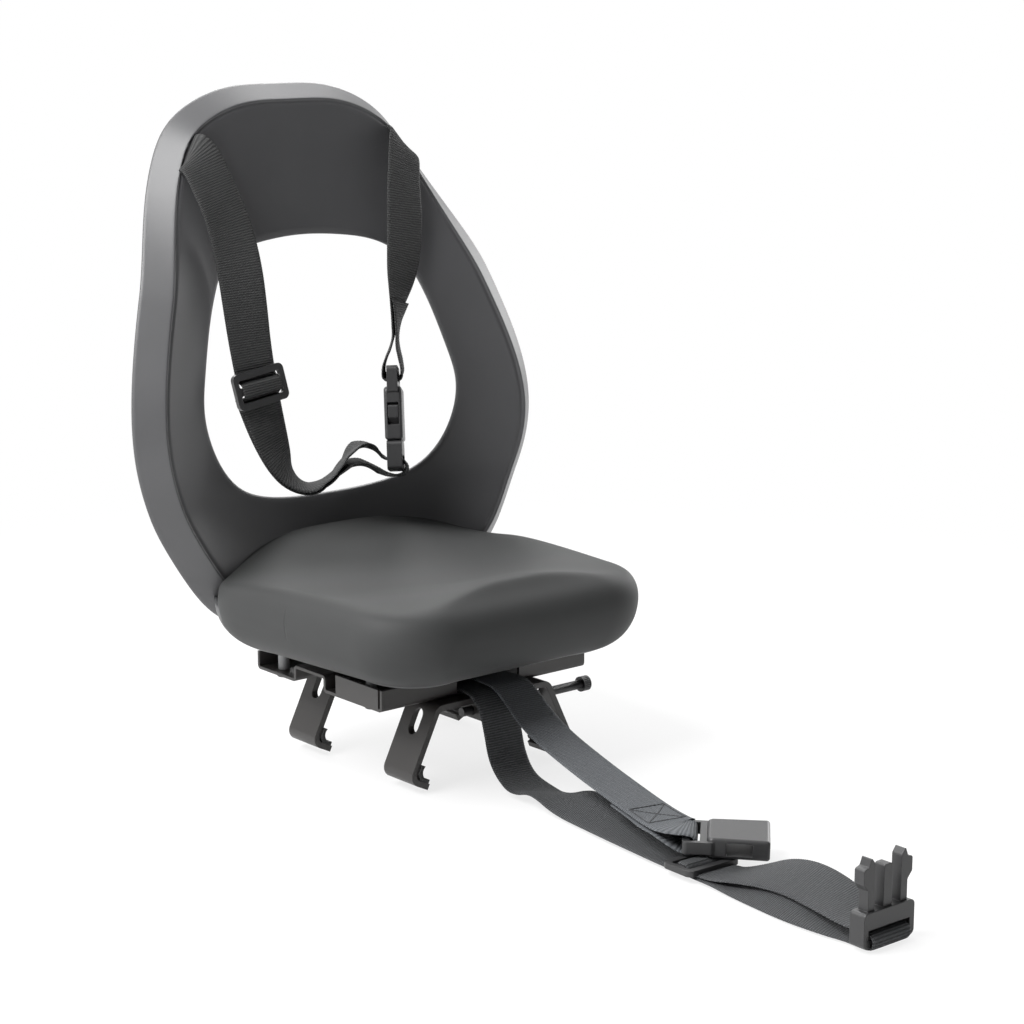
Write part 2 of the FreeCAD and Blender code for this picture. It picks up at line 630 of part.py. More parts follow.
def left_strip(bend_x, tab_x):
    """Strip with a turned-down tab, a flat bar, a left shank and a square foot; drawn at y = 0."""
    half = BAR_THICKNESS / 2
    moves = [(TAB_DROP - BEND_RADIUS,), (BEND_RADIUS, 90), (tab_x - BEND_RADIUS - bend_x,),
             (BEND_RADIUS, 90 - SPLAY), (shank_length(),), (FOOT_RADIUS, FOOT_TURN), (LIP,)]
    face = fold(in_xz, (tab_x, BAR_MIDDLE_Z - TAB_DROP), 90, moves, -half, half)
    strip = face.translated(Y_AXIS * (-BAR_WIDTH / 2)).extrude(Y_AXIS * BAR_WIDTH)
    wire = slot_wire(in_yz, 0, SCREW_Z + SHANK_SLOT_LIFT, SHANK_SLOT_LENGTH, SHANK_SLOT_WIDTH)
    return strip.cut(prism(wire, X_AXIS * (bend_x - BEYOND), X_AXIS * BEYOND))


def tab_hole(tab_x, play):
    """Cutting cylinder for the screw's hole in a tab."""
    return tube(SCREW_RADIUS + play, Vector(tab_x - BAR_THICKNESS, 0, SCREW_Z),
                Vector(tab_x + BAR_THICKNESS, 0, SCREW_Z), X_AXIS)


def fixed_hook():
    """Left hook, cross bar and nut tab, bent from one strip; drawn at y = 0."""
    reach = BAR_WIDTH / 2
    drop = BAR_MIDDLE_Z - TAB_DROP
    snip = Part.makePolygon([in_yz(reach, drop), in_yz(reach, drop + NUT_TAB_SNIP),
                             in_yz(reach - NUT_TAB_SNIP, drop), in_yz(reach, drop)])
    snip = prism(snip, X_AXIS * (NUT_TAB_X - BAR_THICKNESS), X_AXIS * 2 * BAR_THICKNESS)
    rivet_holes = [tube(RIVET_RADIUS, Vector(x, 0, BAR_MIDDLE_Z - BAR_THICKNESS), Vector(x, 0, 0))
                   for x in (RIVET_OUTER_X, RIVET_INNER_X)]
    return left_strip(FIXED_BEND_X, NUT_TAB_X).cut([snip, tab_hole(NUT_TAB_X, HOLE_PLAY)] + rivet_holes)


def sliding_jaw():
    """Right jaw, the same strip turned round, with a slot that slides along its rivet; drawn at y = 0."""
    jaw = mirrored(left_strip(-JAW_BEND_X, -JAW_TAB_X))
    width = 2 * (GUIDE_SHOULDER + SLIDE_GAP)
    length = JAW_TRAVEL_IN + JAW_TRAVEL_OUT + width
    middle = GUIDE_X + (JAW_TRAVEL_IN - JAW_TRAVEL_OUT) / 2
    slot = slot_wire(lambda u, v: Vector(v, u, 0), 0, middle, length, width)
    slot = prism(slot, Z_AXIS * (BAR_MIDDLE_Z - BAR_THICKNESS), Z_AXIS * 2 * BAR_THICKNESS)
    return jaw.cut([slot, tab_hole(JAW_TAB_X, SCREW_PLAY)])


def left_pad(bend_x):
    """Corner block inside a left foot, hollowed by the rail; drawn at y = 0."""
    inward = Vector(math.cos(LEAN), 0, -math.sin(LEAN))
    up = Vector(math.sin(LEAN), 0, math.cos(LEAN))
    run = shank_length() + FOOT_RADIUS
    top = Vector(bend_x - BEND_RADIUS * math.cos(LEAN), 0, BAR_MIDDLE_Z - BEND_RADIUS * (1 - math.sin(LEAN)))
    corner = top - up * run + (inward + up) * (BAR_THICKNESS / 2)
    ring = [(PAD_PLAY, PAD_REACH), (PAD_PLAY, PAD_CORNER), (PAD_CORNER, PAD_PLAY), (PAD_REACH, PAD_PLAY),
            (PAD_REACH, PAD_EDGE), (PAD_EDGE, PAD_REACH), (PAD_PLAY, PAD_REACH)]
    wire = Part.makePolygon([corner + inward * u + up * v for u, v in ring])
    pad = prism(wire, Y_AXIS * (-PAD_LENGTH / 2), Y_AXIS * PAD_LENGTH)
    rail = corner + (inward + up) * (RAIL_RADIUS + PAD_WALL)
    print("rail middle x %.2f z %.2f" % (rail.x, rail.z))
    return pad.cut(tube(RAIL_RADIUS, rail - Y_AXIS * PAD_LENGTH, rail + Y_AXIS * PAD_LENGTH, Y_AXIS))


def rivet_spots(places):
    return [(x, y) for y in BAR_CENTRES.values() for x in places]


def rivets(places, collar, shoulder):
    """Rivets turned about their own axes, flush with the pan so that webbing can lie on it.

    The collar is the radius just under the pan, down to the shoulder's height.
    """
    foot = min(shoulder, -SLIDE_GAP - BAR_THICKNESS)
    head = RIVET_HEAD_RADIUS
    low = foot - RIVET_HEAD_HEIGHT
    steps = [(0, PAN_SHEET), (RIVET_SINK, PAN_SHEET), (RIVET_RADIUS, 0), (collar, 0), (collar, shoulder)]
    if shoulder > foot:
        steps += [(RIVET_RADIUS, shoulder), (RIVET_RADIUS, foot)]
    steps += [(head, foot), (head, low + RIVET_HEAD_BEVEL), (head - RIVET_HEAD_BEVEL, low), (0, low),
              (0, PAN_SHEET)]
    rivet = Part.Face(Part.makePolygon([in_xz(u, v) for u, v in steps])).revolve(HERE, Z_AXIS, 360)
    return Part.makeCompound([rivet.translated(Vector(x, y, 0)) for x, y in rivet_spots(places)])


def clamp_screws():
    """Cap screws with a hexagon socket, backed off as in the photograph."""
    head_end = SCREW_HEAD_X + SCREW_HEAD_LENGTH
    screws = []
    for y in BAR_CENTRES.values():
        shank = tube(SCREW_RADIUS, Vector(SCREW_END_X, y, SCREW_Z), Vector(SCREW_HEAD_X, y, SCREW_Z), X_AXIS)
        head = tube(SCREW_HEAD_RADIUS, Vector(SCREW_HEAD_X, y, SCREW_Z), Vector(head_end, y, SCREW_Z), X_AXIS)
        reach = SCREW_SOCKET_WIDTH / math.sqrt(3)
        ring = [in_yz(reach * math.cos(math.radians(60 * i)), reach * math.sin(math.radians(60 * i)))
                for i in range(7)]
        socket = prism(Part.makePolygon(ring), Vector(head_end - SCREW_SOCKET_DEPTH, y, SCREW_Z), X_AXIS * 10)
        screws.append(head.cut(socket).fuse(shank).removeSplitter())
    return Part.makeCompound(screws)


def clamp_nuts():
    nuts = []
    half = NUT_WIDTH / 2
    face = NUT_TAB_X + BAR_THICKNESS / 2
    for y in BAR_CENTRES.values():
        nut = block((face, y - half, SCREW_Z - half), (face + NUT_THICKNESS, y + half, SCREW_Z + half))
        nuts.append(nut.cut(tube(SCREW_RADIUS + HOLE_PLAY, Vector(face, y, SCREW_Z),
                                 Vector(face + NUT_THICKNESS, y, SCREW_Z), X_AXIS)))
    return Part.makeCompound(nuts)


# Buckles and sliders, drawn with the mouth at the origin facing +Y, width along X

def slotted_tail(start, end, hole_from, half_height):
    """Flat tail with an oblong hole that leaves a bar for the webbing."""
    low, high = sorted((start, end))
    plate = rounded(in_xy, [(BUCKLE_HALF, low, 3), (BUCKLE_HALF, high, 3),
                            (-BUCKLE_HALF, high, 3), (-BUCKLE_HALF, low, 3)])
    plate = prism(plate, Z_AXIS * -half_height, Z_AXIS * 2 * half_height)
    reach = STRAP_WIDTH / 2 + 1
    hole = block((-reach, hole_from, -half_height - 1), (reach, hole_from + STRAP_HOLE, half_height + 1))
    return plate.cut(hole)


def buckle_socket():
    half = BUCKLE_THICKNESS / 2
    waist = BUCKLE_HALF - 1.5
    body = rounded(in_xy, [(BUCKLE_HALF, 0, 1.5), (-BUCKLE_HALF, 0, 1.5),
                           (-waist, -SOCKET_LENGTH, 4), (waist, -SOCKET_LENGTH, 4)])
    body = prism(body, Z_AXIS * -half, Z_AXIS * BUCKLE_THICKNESS)
    long_edges = [edge for edge in body.Edges if abs(abs(edge.CenterOfMass.z) - half) < 0.01]
    body = body.makeFillet(half / 3, long_edges)
    deep = half - SOCKET_WALL
    cavity = block((-CAVITY_HALF, -PRONG_LENGTH - 2, -deep), (CAVITY_HALF, 1, deep))
    windows = block((-BUCKLE_HALF - 1, -PRONG_LENGTH + 4, -deep), (BUCKLE_HALF + 1, -10, deep))
    tail_end = -SOCKET_LENGTH - SOCKET_TAIL
    tail = slotted_tail(tail_end, -SOCKET_LENGTH + 5, tail_end + STRAP_BAR, half * 0.6)
    return body.fuse(tail).cut([cavity, windows]).removeSplitter()


def buckle_clip():
    half = BUCKLE_THICKNESS / 2
    deep = half - SOCKET_WALL - PRONG_PLAY
    base = slotted_tail(PRONG_PLAY, CLIP_BASE, CLIP_BASE - STRAP_BAR - STRAP_HOLE, half * 0.85)
    outer = CAVITY_HALF - PRONG_PLAY
    inner = outer - 5
    tip = -PRONG_LENGTH
    press = BUCKLE_HALF - 0.8
    arm = [(inner, 2, 0.3), (inner, tip + 4, 2), (outer - 2, tip, 0.6), (outer, tip + 5, 1),
           (press, tip + 6, 1.5), (press, -15, 2), (outer, -11, 2), (outer, 2, 0.3)]
    arm = prism(rounded(in_xy, arm), Z_AXIS * -deep, Z_AXIS * 2 * deep)
    guide = [(3.2, 2, 0.3), (3.2, tip + 6, 1.5), (-3.2, tip + 6, 1.5), (-3.2, 2, 0.3)]
    guide = prism(rounded(in_xy, guide), Z_AXIS * -deep, Z_AXIS * 2 * deep)
    return base.fuse([arm, mirrored(arm), guide]).removeSplitter()


def slider():
    """Flat frame with a middle bar."""
    half = SLIDER_LENGTH / 2
    ring = rounded(in_xy, [(BUCKLE_HALF, half, 4), (-BUCKLE_HALF, half, 4),
                           (-BUCKLE_HALF, -half, 4), (BUCKLE_HALF, -half, 4)])
    ring = prism(ring, Z_AXIS * (-SLIDER_THICKNESS / 2), Z_AXIS * SLIDER_THICKNESS)
    reach = STRAP_WIDTH / 2 + 1
    hole = rounded(in_xy, [(reach, half - STRAP_BAR, 1.5), (-reach, half - STRAP_BAR, 1.5),
                           (-reach, SLIDER_BAR / 2, 1.5), (reach, SLIDER_BAR / 2, 1.5)])
    hole = prism(hole, Z_AXIS * -SLIDER_THICKNESS, Z_AXIS * 2 * SLIDER_THICKNESS)
    return ring.cut([hole, hole.mirror(HERE, Y_AXIS)])


def slider_on(route, spot):
    """Slider laid on the face of the webbing nearest the wearer's front or the sky."""
    points = [Vector(*point) for point, _ in route]
    spot = Vector(*spot)
    i = min(range(len(points) - 1), key=lambda k: ((points[k] + points[k + 1]) / 2 - spot).Length)
    along = unit(points[i + 1] - points[i])
    across = unit(Vector(*route[i][1]) - along * Vector(*route[i][1]).dot(along))
    normal = across.cross(along)
    if normal.y - normal.z > 0 and abs(normal.y) > abs(normal.z) or normal.z < -0.5:
        across = -across
        normal = -normal
    base = points[i] + along * (spot - points[i]).dot(along)
    lift = (STRAP_THICKNESS + SLIDER_THICKNESS) / 2 + STRAP_GAP
    return placed(slider(), (base + normal * lift, along, across))


def strap_stops(curve):
    """Bars sewn into the webbing's ends, which stop in the corner behind the harness slots."""
    middle, along, through, across = slot_frame(curve)
    rear = unit(Y_AXIS - along * Y_AXIS.dot(along))
    share = (SHELL_WALL + STOP_RADIUS + 2 * STRAP_GAP) / (1 + through.dot(rear))
    start = middle + (through + rear) * share - along * (STRAP_WIDTH / 2)
    bar = Part.makeCylinder(STOP_RADIUS, STRAP_WIDTH, start, along)
    return Part.makeCompound([bar, mirrored(bar)])


def save(name, shape):
    shape.exportStep("parts/%s.step" % name)
    print("%-22s solids %d volume %.0f valid %s" % (name, len(shape.Solids), shape.Volume, shape.isValid()))


os.makedirs("parts", exist_ok=True)
save("seat_shell", seat_shell())
save("seat_cushion", seat_cushion())
save("mounting_pan", mounting_pan())
save("pan_spacers", pan_spacers())
save("pan_bolts", pan_bolts())
save("bar_rivets", rivets((RIVET_OUTER_X, RIVET_INNER_X), RIVET_COLLAR, -SLIDE_GAP))
save("guide_rivets", rivets((GUIDE_X,), GUIDE_SHOULDER, -2 * SLIDE_GAP - BAR_THICKNESS))
save("clamp_screws", clamp_screws())
save("clamp_nuts", clamp_nuts())
for place, bar_y in BAR_CENTRES.items():
    across_to = Y_AXIS * bar_y
    save(place + "_fixed_hook", fixed_hook().translated(across_to))
    save(place + "_sliding_jaw", sliding_jaw().translated(across_to))
    save(place + "_left_pad", left_pad(FIXED_BEND_X).translated(across_to))
    save(place + "_right_pad", mirrored(left_pad(-JAW_BEND_X)).translated(across_to))
save("strap_stops", strap_stops(outline_curve(BACK_OUTLINE)))
save("chest_strap_left", ribbon(CHEST_LEFT_ROUTE))
save("chest_strap_right", ribbon(CHEST_RIGHT_ROUTE))
save("chest_slider", slider_on(CHEST_LEFT_ROUTE, CHEST_SLIDER_AT))
save("chest_buckle_socket", placed(buckle_socket(), CHEST_BUCKLE_AT))
save("chest_buckle_clip", placed(buckle_clip(), CHEST_BUCKLE_AT))
save("lap_strap_short", ribbon(LAP_SHORT_ROUTE))
save("lap_strap_long", ribbon(LAP_LONG_ROUTE))
save("lap_slider", slider_on(LAP_LONG_ROUTE, LAP_SLIDER_AT))
save("lap_buckle_socket", placed(buckle_socket(), LAP_SOCKET_AT))
save("lap_buckle_clip", placed(buckle_clip(), LAP_CLIP_AT))
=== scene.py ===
import json

import bmesh
import bpy
import numpy as np
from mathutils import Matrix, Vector


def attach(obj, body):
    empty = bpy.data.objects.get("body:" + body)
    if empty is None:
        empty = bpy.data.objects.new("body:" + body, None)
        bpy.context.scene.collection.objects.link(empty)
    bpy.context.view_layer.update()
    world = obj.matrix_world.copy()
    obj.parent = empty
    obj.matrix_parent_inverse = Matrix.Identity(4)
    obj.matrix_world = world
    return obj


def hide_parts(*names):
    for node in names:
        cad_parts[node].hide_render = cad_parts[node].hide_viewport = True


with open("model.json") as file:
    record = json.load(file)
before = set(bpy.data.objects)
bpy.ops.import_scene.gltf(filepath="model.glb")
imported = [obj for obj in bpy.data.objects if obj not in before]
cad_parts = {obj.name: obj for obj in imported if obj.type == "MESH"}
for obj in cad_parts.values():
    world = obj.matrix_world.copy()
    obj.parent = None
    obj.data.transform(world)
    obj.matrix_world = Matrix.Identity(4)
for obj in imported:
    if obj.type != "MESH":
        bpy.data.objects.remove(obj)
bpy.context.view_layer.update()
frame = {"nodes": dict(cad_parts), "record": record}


# Studio: a white sweep, a long lens at the photograph's viewing angle and four soft boxes: the key at the
# upper left, a weak one low on the left, one behind and above the seat and one on the right. The floor
# lies just under the pads and the webbing, and is white to the camera except for its soft shadow.
scene = bpy.context.scene
scene.view_settings.view_transform = "Standard"


class Shade:
    """One socket of a node tree: arithmetic on it adds Math nodes, and node() adds any other node."""

    def __init__(self, tree, socket=None):
        self.tree = tree
        self.socket = socket

    def node(self, kind, settings=None, inputs=None, output=0):
        """Add a node: its settings are set first, then the values or links of its sockets."""
        new = self.tree.nodes.new(kind)
        for name, value in (settings or {}).items():
            setattr(new, name, value)
        for name, value in (inputs or {}).items():
            if isinstance(value, Shade):
                self.tree.links.new(value.socket, new.inputs[name])
            else:
                new.inputs[name].default_value = value
        return Shade(self.tree, new.outputs[output])

    def math(self, operation, *values):
        return self.node("ShaderNodeMath", {"operation": operation}, dict(enumerate(values)))

    def mix(self, share, low, high):
        """Colour between two colours by a share."""
        inputs = {0: share, 6: low, 7: high}
        return self.node("ShaderNodeMix", {"data_type": "RGBA"}, inputs, 2)

    def to(self, node, name):
        self.tree.links.new(self.socket, node.inputs[name])

    def __add__(self, other):
        return self.math("ADD", self, other)

    def __sub__(self, other):
        return self.math("SUBTRACT", self, other)

    def __rsub__(self, other):
        return self.math("SUBTRACT", other, self)

    def __mul__(self, other):
        return self.math("MULTIPLY", self, other)

    def __truediv__(self, other):
        return self.math("DIVIDE", self, other)

    __radd__ = __add__
    __rmul__ = __mul__


def aim(thing, place, target):
    """Put a camera or lamp at a place and turn it to look at the target."""
    thing.location = place
    thing.rotation_mode = "QUATERNION"
    thing.rotation_quaternion = (Vector(target) - Vector(place)).to_track_quat("-Z", "Y")
    scene.collection.objects.link(thing)


camera_place = Vector((-0.9784, -1.2555, 0.4467))
camera_back = Vector((-0.6289, -0.7484, 0.2106))
camera = bpy.data.objects.new("camera", bpy.data.cameras.new("camera"))
camera.data.lens = 88.70
camera.data.sensor_width = 36.0
aim(camera, camera_place, camera_place - camera_back)
scene.camera = camera

soft_boxes = {"key_box": ((-1.35, 0.16, 1.75), 1.2, 72.0), "left_box": ((-2.0, -0.1, 0.35), 1.1, 9.0),
              "back_box": ((0.6, 1.5, 1.4), 1.6, 34.0), "right_box": ((1.9, 0.3, 0.7), 1.2, 20.0)}
seat_middle = (0, 0, 0.12)
for name, (place, size, power) in soft_boxes.items():
    lamp = bpy.data.lights.new(name, "AREA")
    lamp.size = size
    lamp.energy = power
    aim(bpy.data.objects.new(name, lamp), place, seat_middle)

world = bpy.data.worlds.new("sweep")
world.use_nodes = True
scene.world = world
sky = Shade(world.node_tree)
straight = sky.node("ShaderNodeLightPath", output="Is Camera Ray")
passed = sky.node("ShaderNodeLightPath", output="Is Transmission Ray")
seen = straight.math("MAXIMUM", straight, passed)
towards = sky.node("ShaderNodeTexCoord", output="Generated")
depth = sky.node("ShaderNodeSeparateXYZ", inputs={0: towards}, output="Y")
front_level = 0.03
back_level = 0.85
sweep = depth.node("ShaderNodeMapRange", inputs={0: depth, 1: -0.6, 2: 0.5, 3: front_level, 4: back_level})
level = sweep + seen * (1.0 - sweep)
level.to(world.node_tree.nodes["Background"], "Strength")
world.node_tree.nodes["Background"].inputs["Color"].default_value = (1, 1, 1, 1)

floor_z = -0.0546
floor_half = 6.0
floor_mesh = bpy.data.meshes.new("floor")
floor_corners = [(x * floor_half, y * floor_half, floor_z) for x, y in ((-1, -1), (1, -1), (1, 1), (-1, 1))]
floor_mesh.from_pydata(floor_corners, [], [(0, 1, 2, 3)])
floor = bpy.data.objects.new("floor", floor_mesh)
scene.collection.objects.link(floor)
paper = bpy.data.materials.new("floor_paper")
paper.use_nodes = True
ground = Shade(paper.node_tree)
shadowed = ground.node("ShaderNodeBsdfDiffuse", inputs={"Color": (0.86, 0.86, 0.86, 1)})
white = ground.node("ShaderNodeEmission", inputs={"Color": (1, 1, 1, 1), "Strength": 1.0})
camera_ray = ground.node("ShaderNodeLightPath", output="Is Camera Ray")
glossy_ray = ground.node("ShaderNodeLightPath", output="Is Glossy Ray")
reach = ground.node("ShaderNodeVectorMath", {"operation": "LENGTH"},
                    {0: ground.node("ShaderNodeTexCoord", output="Object")}, "Value")
shadow_share = 0.22
near = reach.node("ShaderNodeMapRange", {"interpolation_type": "SMOOTHSTEP"},
                  {0: reach, 1: 0.8, 2: 0.3, 3: 0.0, 4: shadow_share})
glow = camera_ray.math("MAXIMUM", camera_ray * (1.0 - near), glossy_ray * 0.5)
paper_mix = ground.node("ShaderNodeMixShader", inputs={0: glow, 1: shadowed, 2: white})
paper_mix.to(paper.node_tree.nodes["Material Output"], "Surface")
floor_mesh.materials.append(paper)


# Seat shell: one injection-moulded plastic piece with a fine matt grain. The back wall leans and curls
# forward, a flared band runs round its crease, and the tray that holds the cushion is moulded to its foot.
def cubic(knots, values, at):
    """Natural cubic through values at knots: its second slopes solve the tridiagonal spline equations."""
    gap = np.diff(knots)
    matrix = np.eye(len(knots))
    inner = np.arange(1, len(knots) - 1)
    matrix[inner, inner - 1] = gap[:-1]
    matrix[inner, inner] = 2 * (gap[:-1] + gap[1:])
    matrix[inner, inner + 1] = gap[1:]
    rise = np.diff(values, axis=0) / gap[:, None]
    bend = np.zeros_like(values)
    bend[1:-1] = 6 * np.diff(rise, axis=0)
    bend = np.linalg.solve(matrix, bend)
    i = np.clip(np.searchsorted(knots, at) - 1, 0, len(knots) - 2)
    t = (at - knots[i])[:, None]
    g = gap[i][:, None]
    slope = rise[i] - g * (2 * bend[i] + bend[i + 1]) / 6
    return values[i] + t * slope + t ** 2 * bend[i] / 2 + t ** 3 * (bend[i + 1] - bend[i]) / (6 * g)


def chords(points):
    """Running sum of the distances between neighbouring points, starting at 0."""
    return np.concatenate([[0], np.cumsum(np.linalg.norm(np.diff(points, axis=0), axis=1))])


def loop_by_angle(right_half, middle_z, angles):
    """Closed smooth line through a right half and its mirror, read where rays from its middle meet it."""
    half = np.array(right_half, float)
    inner = half[half[:, 0] > 0]
    loop = np.concatenate([half, inner[::-1] * [-1, 1]])
    three = np.concatenate([loop, loop, loop, loop[:1]])
    knots = chords(three)
    at = np.linspace(knots[len(loop)], knots[2 * len(loop)], 3000, endpoint=False)
    line = cubic(knots, three, at)
    turn = np.arctan2(line[:, 1] - middle_z, line[:, 0])
    radius = np.hypot(line[:, 0], line[:, 1] - middle_z)
    order = np.argsort(turn)
    reach = np.interp(angles, turn[order], radius[order], period=2 * np.pi)
    return np.stack([reach * np.cos(angles), middle_z + reach * np.sin(angles)], -1)


def mesh_piece(name, grid, wrap_rows=False, uv=None):
    """Mesh of a grid of points in millimetres, in quads that close round each row; open ends are capped and
    poles are welded."""
    rows, columns = grid.shape[:2]
    r, c = np.meshgrid(np.arange(rows if wrap_rows else rows - 1), np.arange(columns), indexing="ij")
    down = (r + 1) % rows
    over = (c + 1) % columns
    quads = np.stack([r * columns + c, r * columns + over, down * columns + over, down * columns + c], -1)
    mesh = bpy.data.meshes.new(name)
    mesh.from_pydata((grid.reshape(-1, 3) / 1000).tolist(), [], quads.reshape(-1, 4).tolist())
    if uv is not None:
        corners = np.empty(len(mesh.loops), int)
        mesh.loops.foreach_get("vertex_index", corners)
        layer = mesh.uv_layers.new(name="UVMap")
        layer.data.foreach_set("uv", uv.reshape(-1, 2)[corners].ravel())
    work = bmesh.new()
    work.from_mesh(mesh)
    bmesh.ops.remove_doubles(work, verts=work.verts, dist=1e-6)
    bmesh.ops.holes_fill(work, edges=work.edges)
    bmesh.ops.recalc_face_normals(work, faces=work.faces)
    work.to_mesh(mesh)
    work.free()
    mesh.shade_smooth()
    piece = bpy.data.objects.new(name, mesh)
    scene.collection.objects.link(piece)
    return piece


def joined(name, pieces):
    """One object of several: their meshes in one, each with its own material slots."""
    with bpy.context.temp_override(active_object=pieces[0], selected_editable_objects=pieces):
        bpy.ops.object.join()
    pieces[0].name = name
    return pieces[0]


def dressed(piece, body, node):
    """The piece rides on a body and stands for the CAD node that it replaces, which is hidden."""
    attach(piece, body)
    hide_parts(node)


def smooth_share(value, low, high):
    """0 below low, 1 above high, and a smooth S between."""
    share = np.clip((value - low) / (high - low), 0, 1)
    return share * share * (3 - 2 * share)


wall = 3.5
wall_foot_y = 88.5
wall_lean = 0.1337
dish_rate = 0.0019
headrest_z = (238, 350)
curl_depth = 8
curl_z = (60, 112)
outline_half = [(0, 362), (34, 361), (62, 353), (81, 340), (93, 321), (113.5, 272), (136, 210),
                (145.5, 144), (125, 88), (98, 52), (60, 33), (0, 27)]
window_half = [(0, 273), (31, 271), (54, 266.5), (70, 258), (82, 241), (99, 192), (103.5, 169), (99.6, 147),
               (76, 115), (45, 104), (0, 101)]
back_middle_z = 187.0
turns = np.linspace(-np.pi / 2, 3 * np.pi / 2, 420, endpoint=False)
crease_line = loop_by_angle(outline_half, back_middle_z, turns)
window_line = loop_by_angle(window_half, back_middle_z, turns)


def foot_curl(z):
    """How far the wall's front curls forward towards its foot: an S curve over the height."""
    return curl_depth * (1 - smooth_share(z, *curl_z))


def back_depth(x, z):
    """Front of the back wall: a lean with height, less a dish that grows with x squared below the headrest
    and less the curl at the foot."""
    dish = dish_rate * (1 - smooth_share(z, *headrest_z)) * x ** 2
    return wall_foot_y + wall_lean * z - dish - foot_curl(z)


def wall_rows(distance, offset, filled=0.0):
    """Points of the wall at distances in from the window's edge, pushed back by an offset. Where it is
    filled, the foot's curl is made up behind, except beside the crease."""
    flat = window_line + inward * distance[..., None]
    x, z = flat[..., 0], flat[..., 1]
    fill = filled * foot_curl(z) * smooth_share(wall_reach - distance, 2, 20)
    return np.stack([x, back_depth(x, z) + offset + fill, z], -1)


inward = crease_line - window_line
wall_reach = np.linalg.norm(inward, axis=1)
inward = inward / wall_reach[:, None]
along = np.roll(crease_line, -1, 0) - np.roll(crease_line, 1, 0)
out = np.stack([along[:, 1], 0 * along[:, 0], -along[:, 0]], -1)
out = out / np.linalg.norm(out, axis=1)[:, None]
side_flare = 47
top_flare = 27
flare_share = smooth_share(crease_line[:, 1], 235, 350)
flare = np.radians(side_flare + (top_flare - side_flare) * flare_share)[:, None]
rearward = np.array([0.0, 1.0, 0.0])
across = out * np.sin(flare) + rearward * np.cos(flare)
behind = rearward * np.sin(flare) - out * np.cos(flare)
foot_rim = 1.5
full_rim = 22.5
rim_width = (foot_rim + (full_rim - foot_rim) * smooth_share(crease_line[:, 1], 27, 42))[:, None]
crease = wall_rows(wall_reach, 0.0)
corner = crease + (behind + rearward) * wall / (1 + behind[:, 1:2])

# The rows run from the window's edge over the wall's front and the groove beside the crease, out along the
# band, round its rim, back under the band and up the wall's rear to the window again.
edge_round = np.array([[0, 1.7], [0.12, 0.95], [0.5, 0.35], [1.2, 0.0]])
front = [wall_rows(0 * wall_reach + d, lift) for d, lift in edge_round]
spread = np.linspace(0, 1, 26)[1:, None] ** 0.9
front += list(wall_rows(1.2 + (wall_reach - 5.2) * spread, 0.0))
groove = [(3.0, 0.25), (2.2, 0.75), (1.5, 0.8), (0.9, 0.45), (0.3, 0.12)]
front += [wall_rows(wall_reach - d, lift) for d, lift in groove]
band = [crease + across * d + behind * lift for d, lift in ((0.5, 0.05), (1.2, 0.0))]
band += [crease + across * (1.2 + (rim_width - 2.4) * t) for t in np.linspace(0, 1, 14)[1:]]
rim_edge = [(0.5, 0.3), (0.1, 1.0), (0.0, 1.75), (0.1, 2.5), (0.5, 3.2), (1.2, 3.5)]
band += [crease + across * (rim_width - d) + behind * lift for d, lift in rim_edge]
under = [crease + behind * wall + across * (1.5 + (rim_width - 3.0) * t) for t in np.linspace(1, 0, 10)]
rear = [corner + (wall_rows(wall_reach - 2.0, wall) - corner) * t for t in (0.15, 0.5, 1.0)]
rear += list(wall_rows(1.2 + (wall_reach - 3.6) * spread[::-1], wall, 1.0))
rear += [wall_rows(0 * wall_reach + d, wall - lift, 1.0) for d, lift in edge_round[::-1][:-1]]
back_grid = np.stack(front + band + under + rear)
back_piece = mesh_piece("seat_back", back_grid, wrap_rows=True)

slot_middle = np.array([85.6, 130.3, 330.2])
slot_along = np.array([0.55, -0.24, -0.8])
slot_through = np.array([-0.66, 0.47, -0.59])
slot_half_length = 16.6
slot_half_width = 2.2
tool_half_depth = 16
lengthways = slot_along / np.linalg.norm(slot_along)
sideways = np.cross(lengthways, slot_through)
sideways = sideways / np.linalg.norm(sideways)
through = np.cross(sideways, lengthways)
turn = np.linspace(0, 2 * np.pi, 40, endpoint=False)
straight_run = (slot_half_length - slot_half_width) * np.sign(np.cos(turn))
slot_ring = (lengthways * (straight_run + slot_half_width * np.cos(turn))[:, None]
             + sideways * (slot_half_width * np.sin(turn))[:, None])
slot_ends = through * np.array([-tool_half_depth, tool_half_depth])[:, None, None]
for side in (-1, 1):
    tool = mesh_piece("slot_tool", (slot_middle + slot_ring + slot_ends) * [side, 1, 1])
    cut = back_piece.modifiers.new("slot", "BOOLEAN")
    cut.solver = "FAST"
    cut.object = tool
    bpy.context.view_layer.update()
    shape = bpy.data.meshes.new_from_object(back_piece.evaluated_get(bpy.context.evaluated_depsgraph_get()))
    back_piece.modifiers.clear()
    back_piece.data = shape
    bpy.data.objects.remove(tool)
back_piece.data.shade_smooth()

plan_corners = np.array([(124, 98), (-124, 98), (-106, -117), (106, -117)], float)
plan_radii = [52, 52, 48, 48]


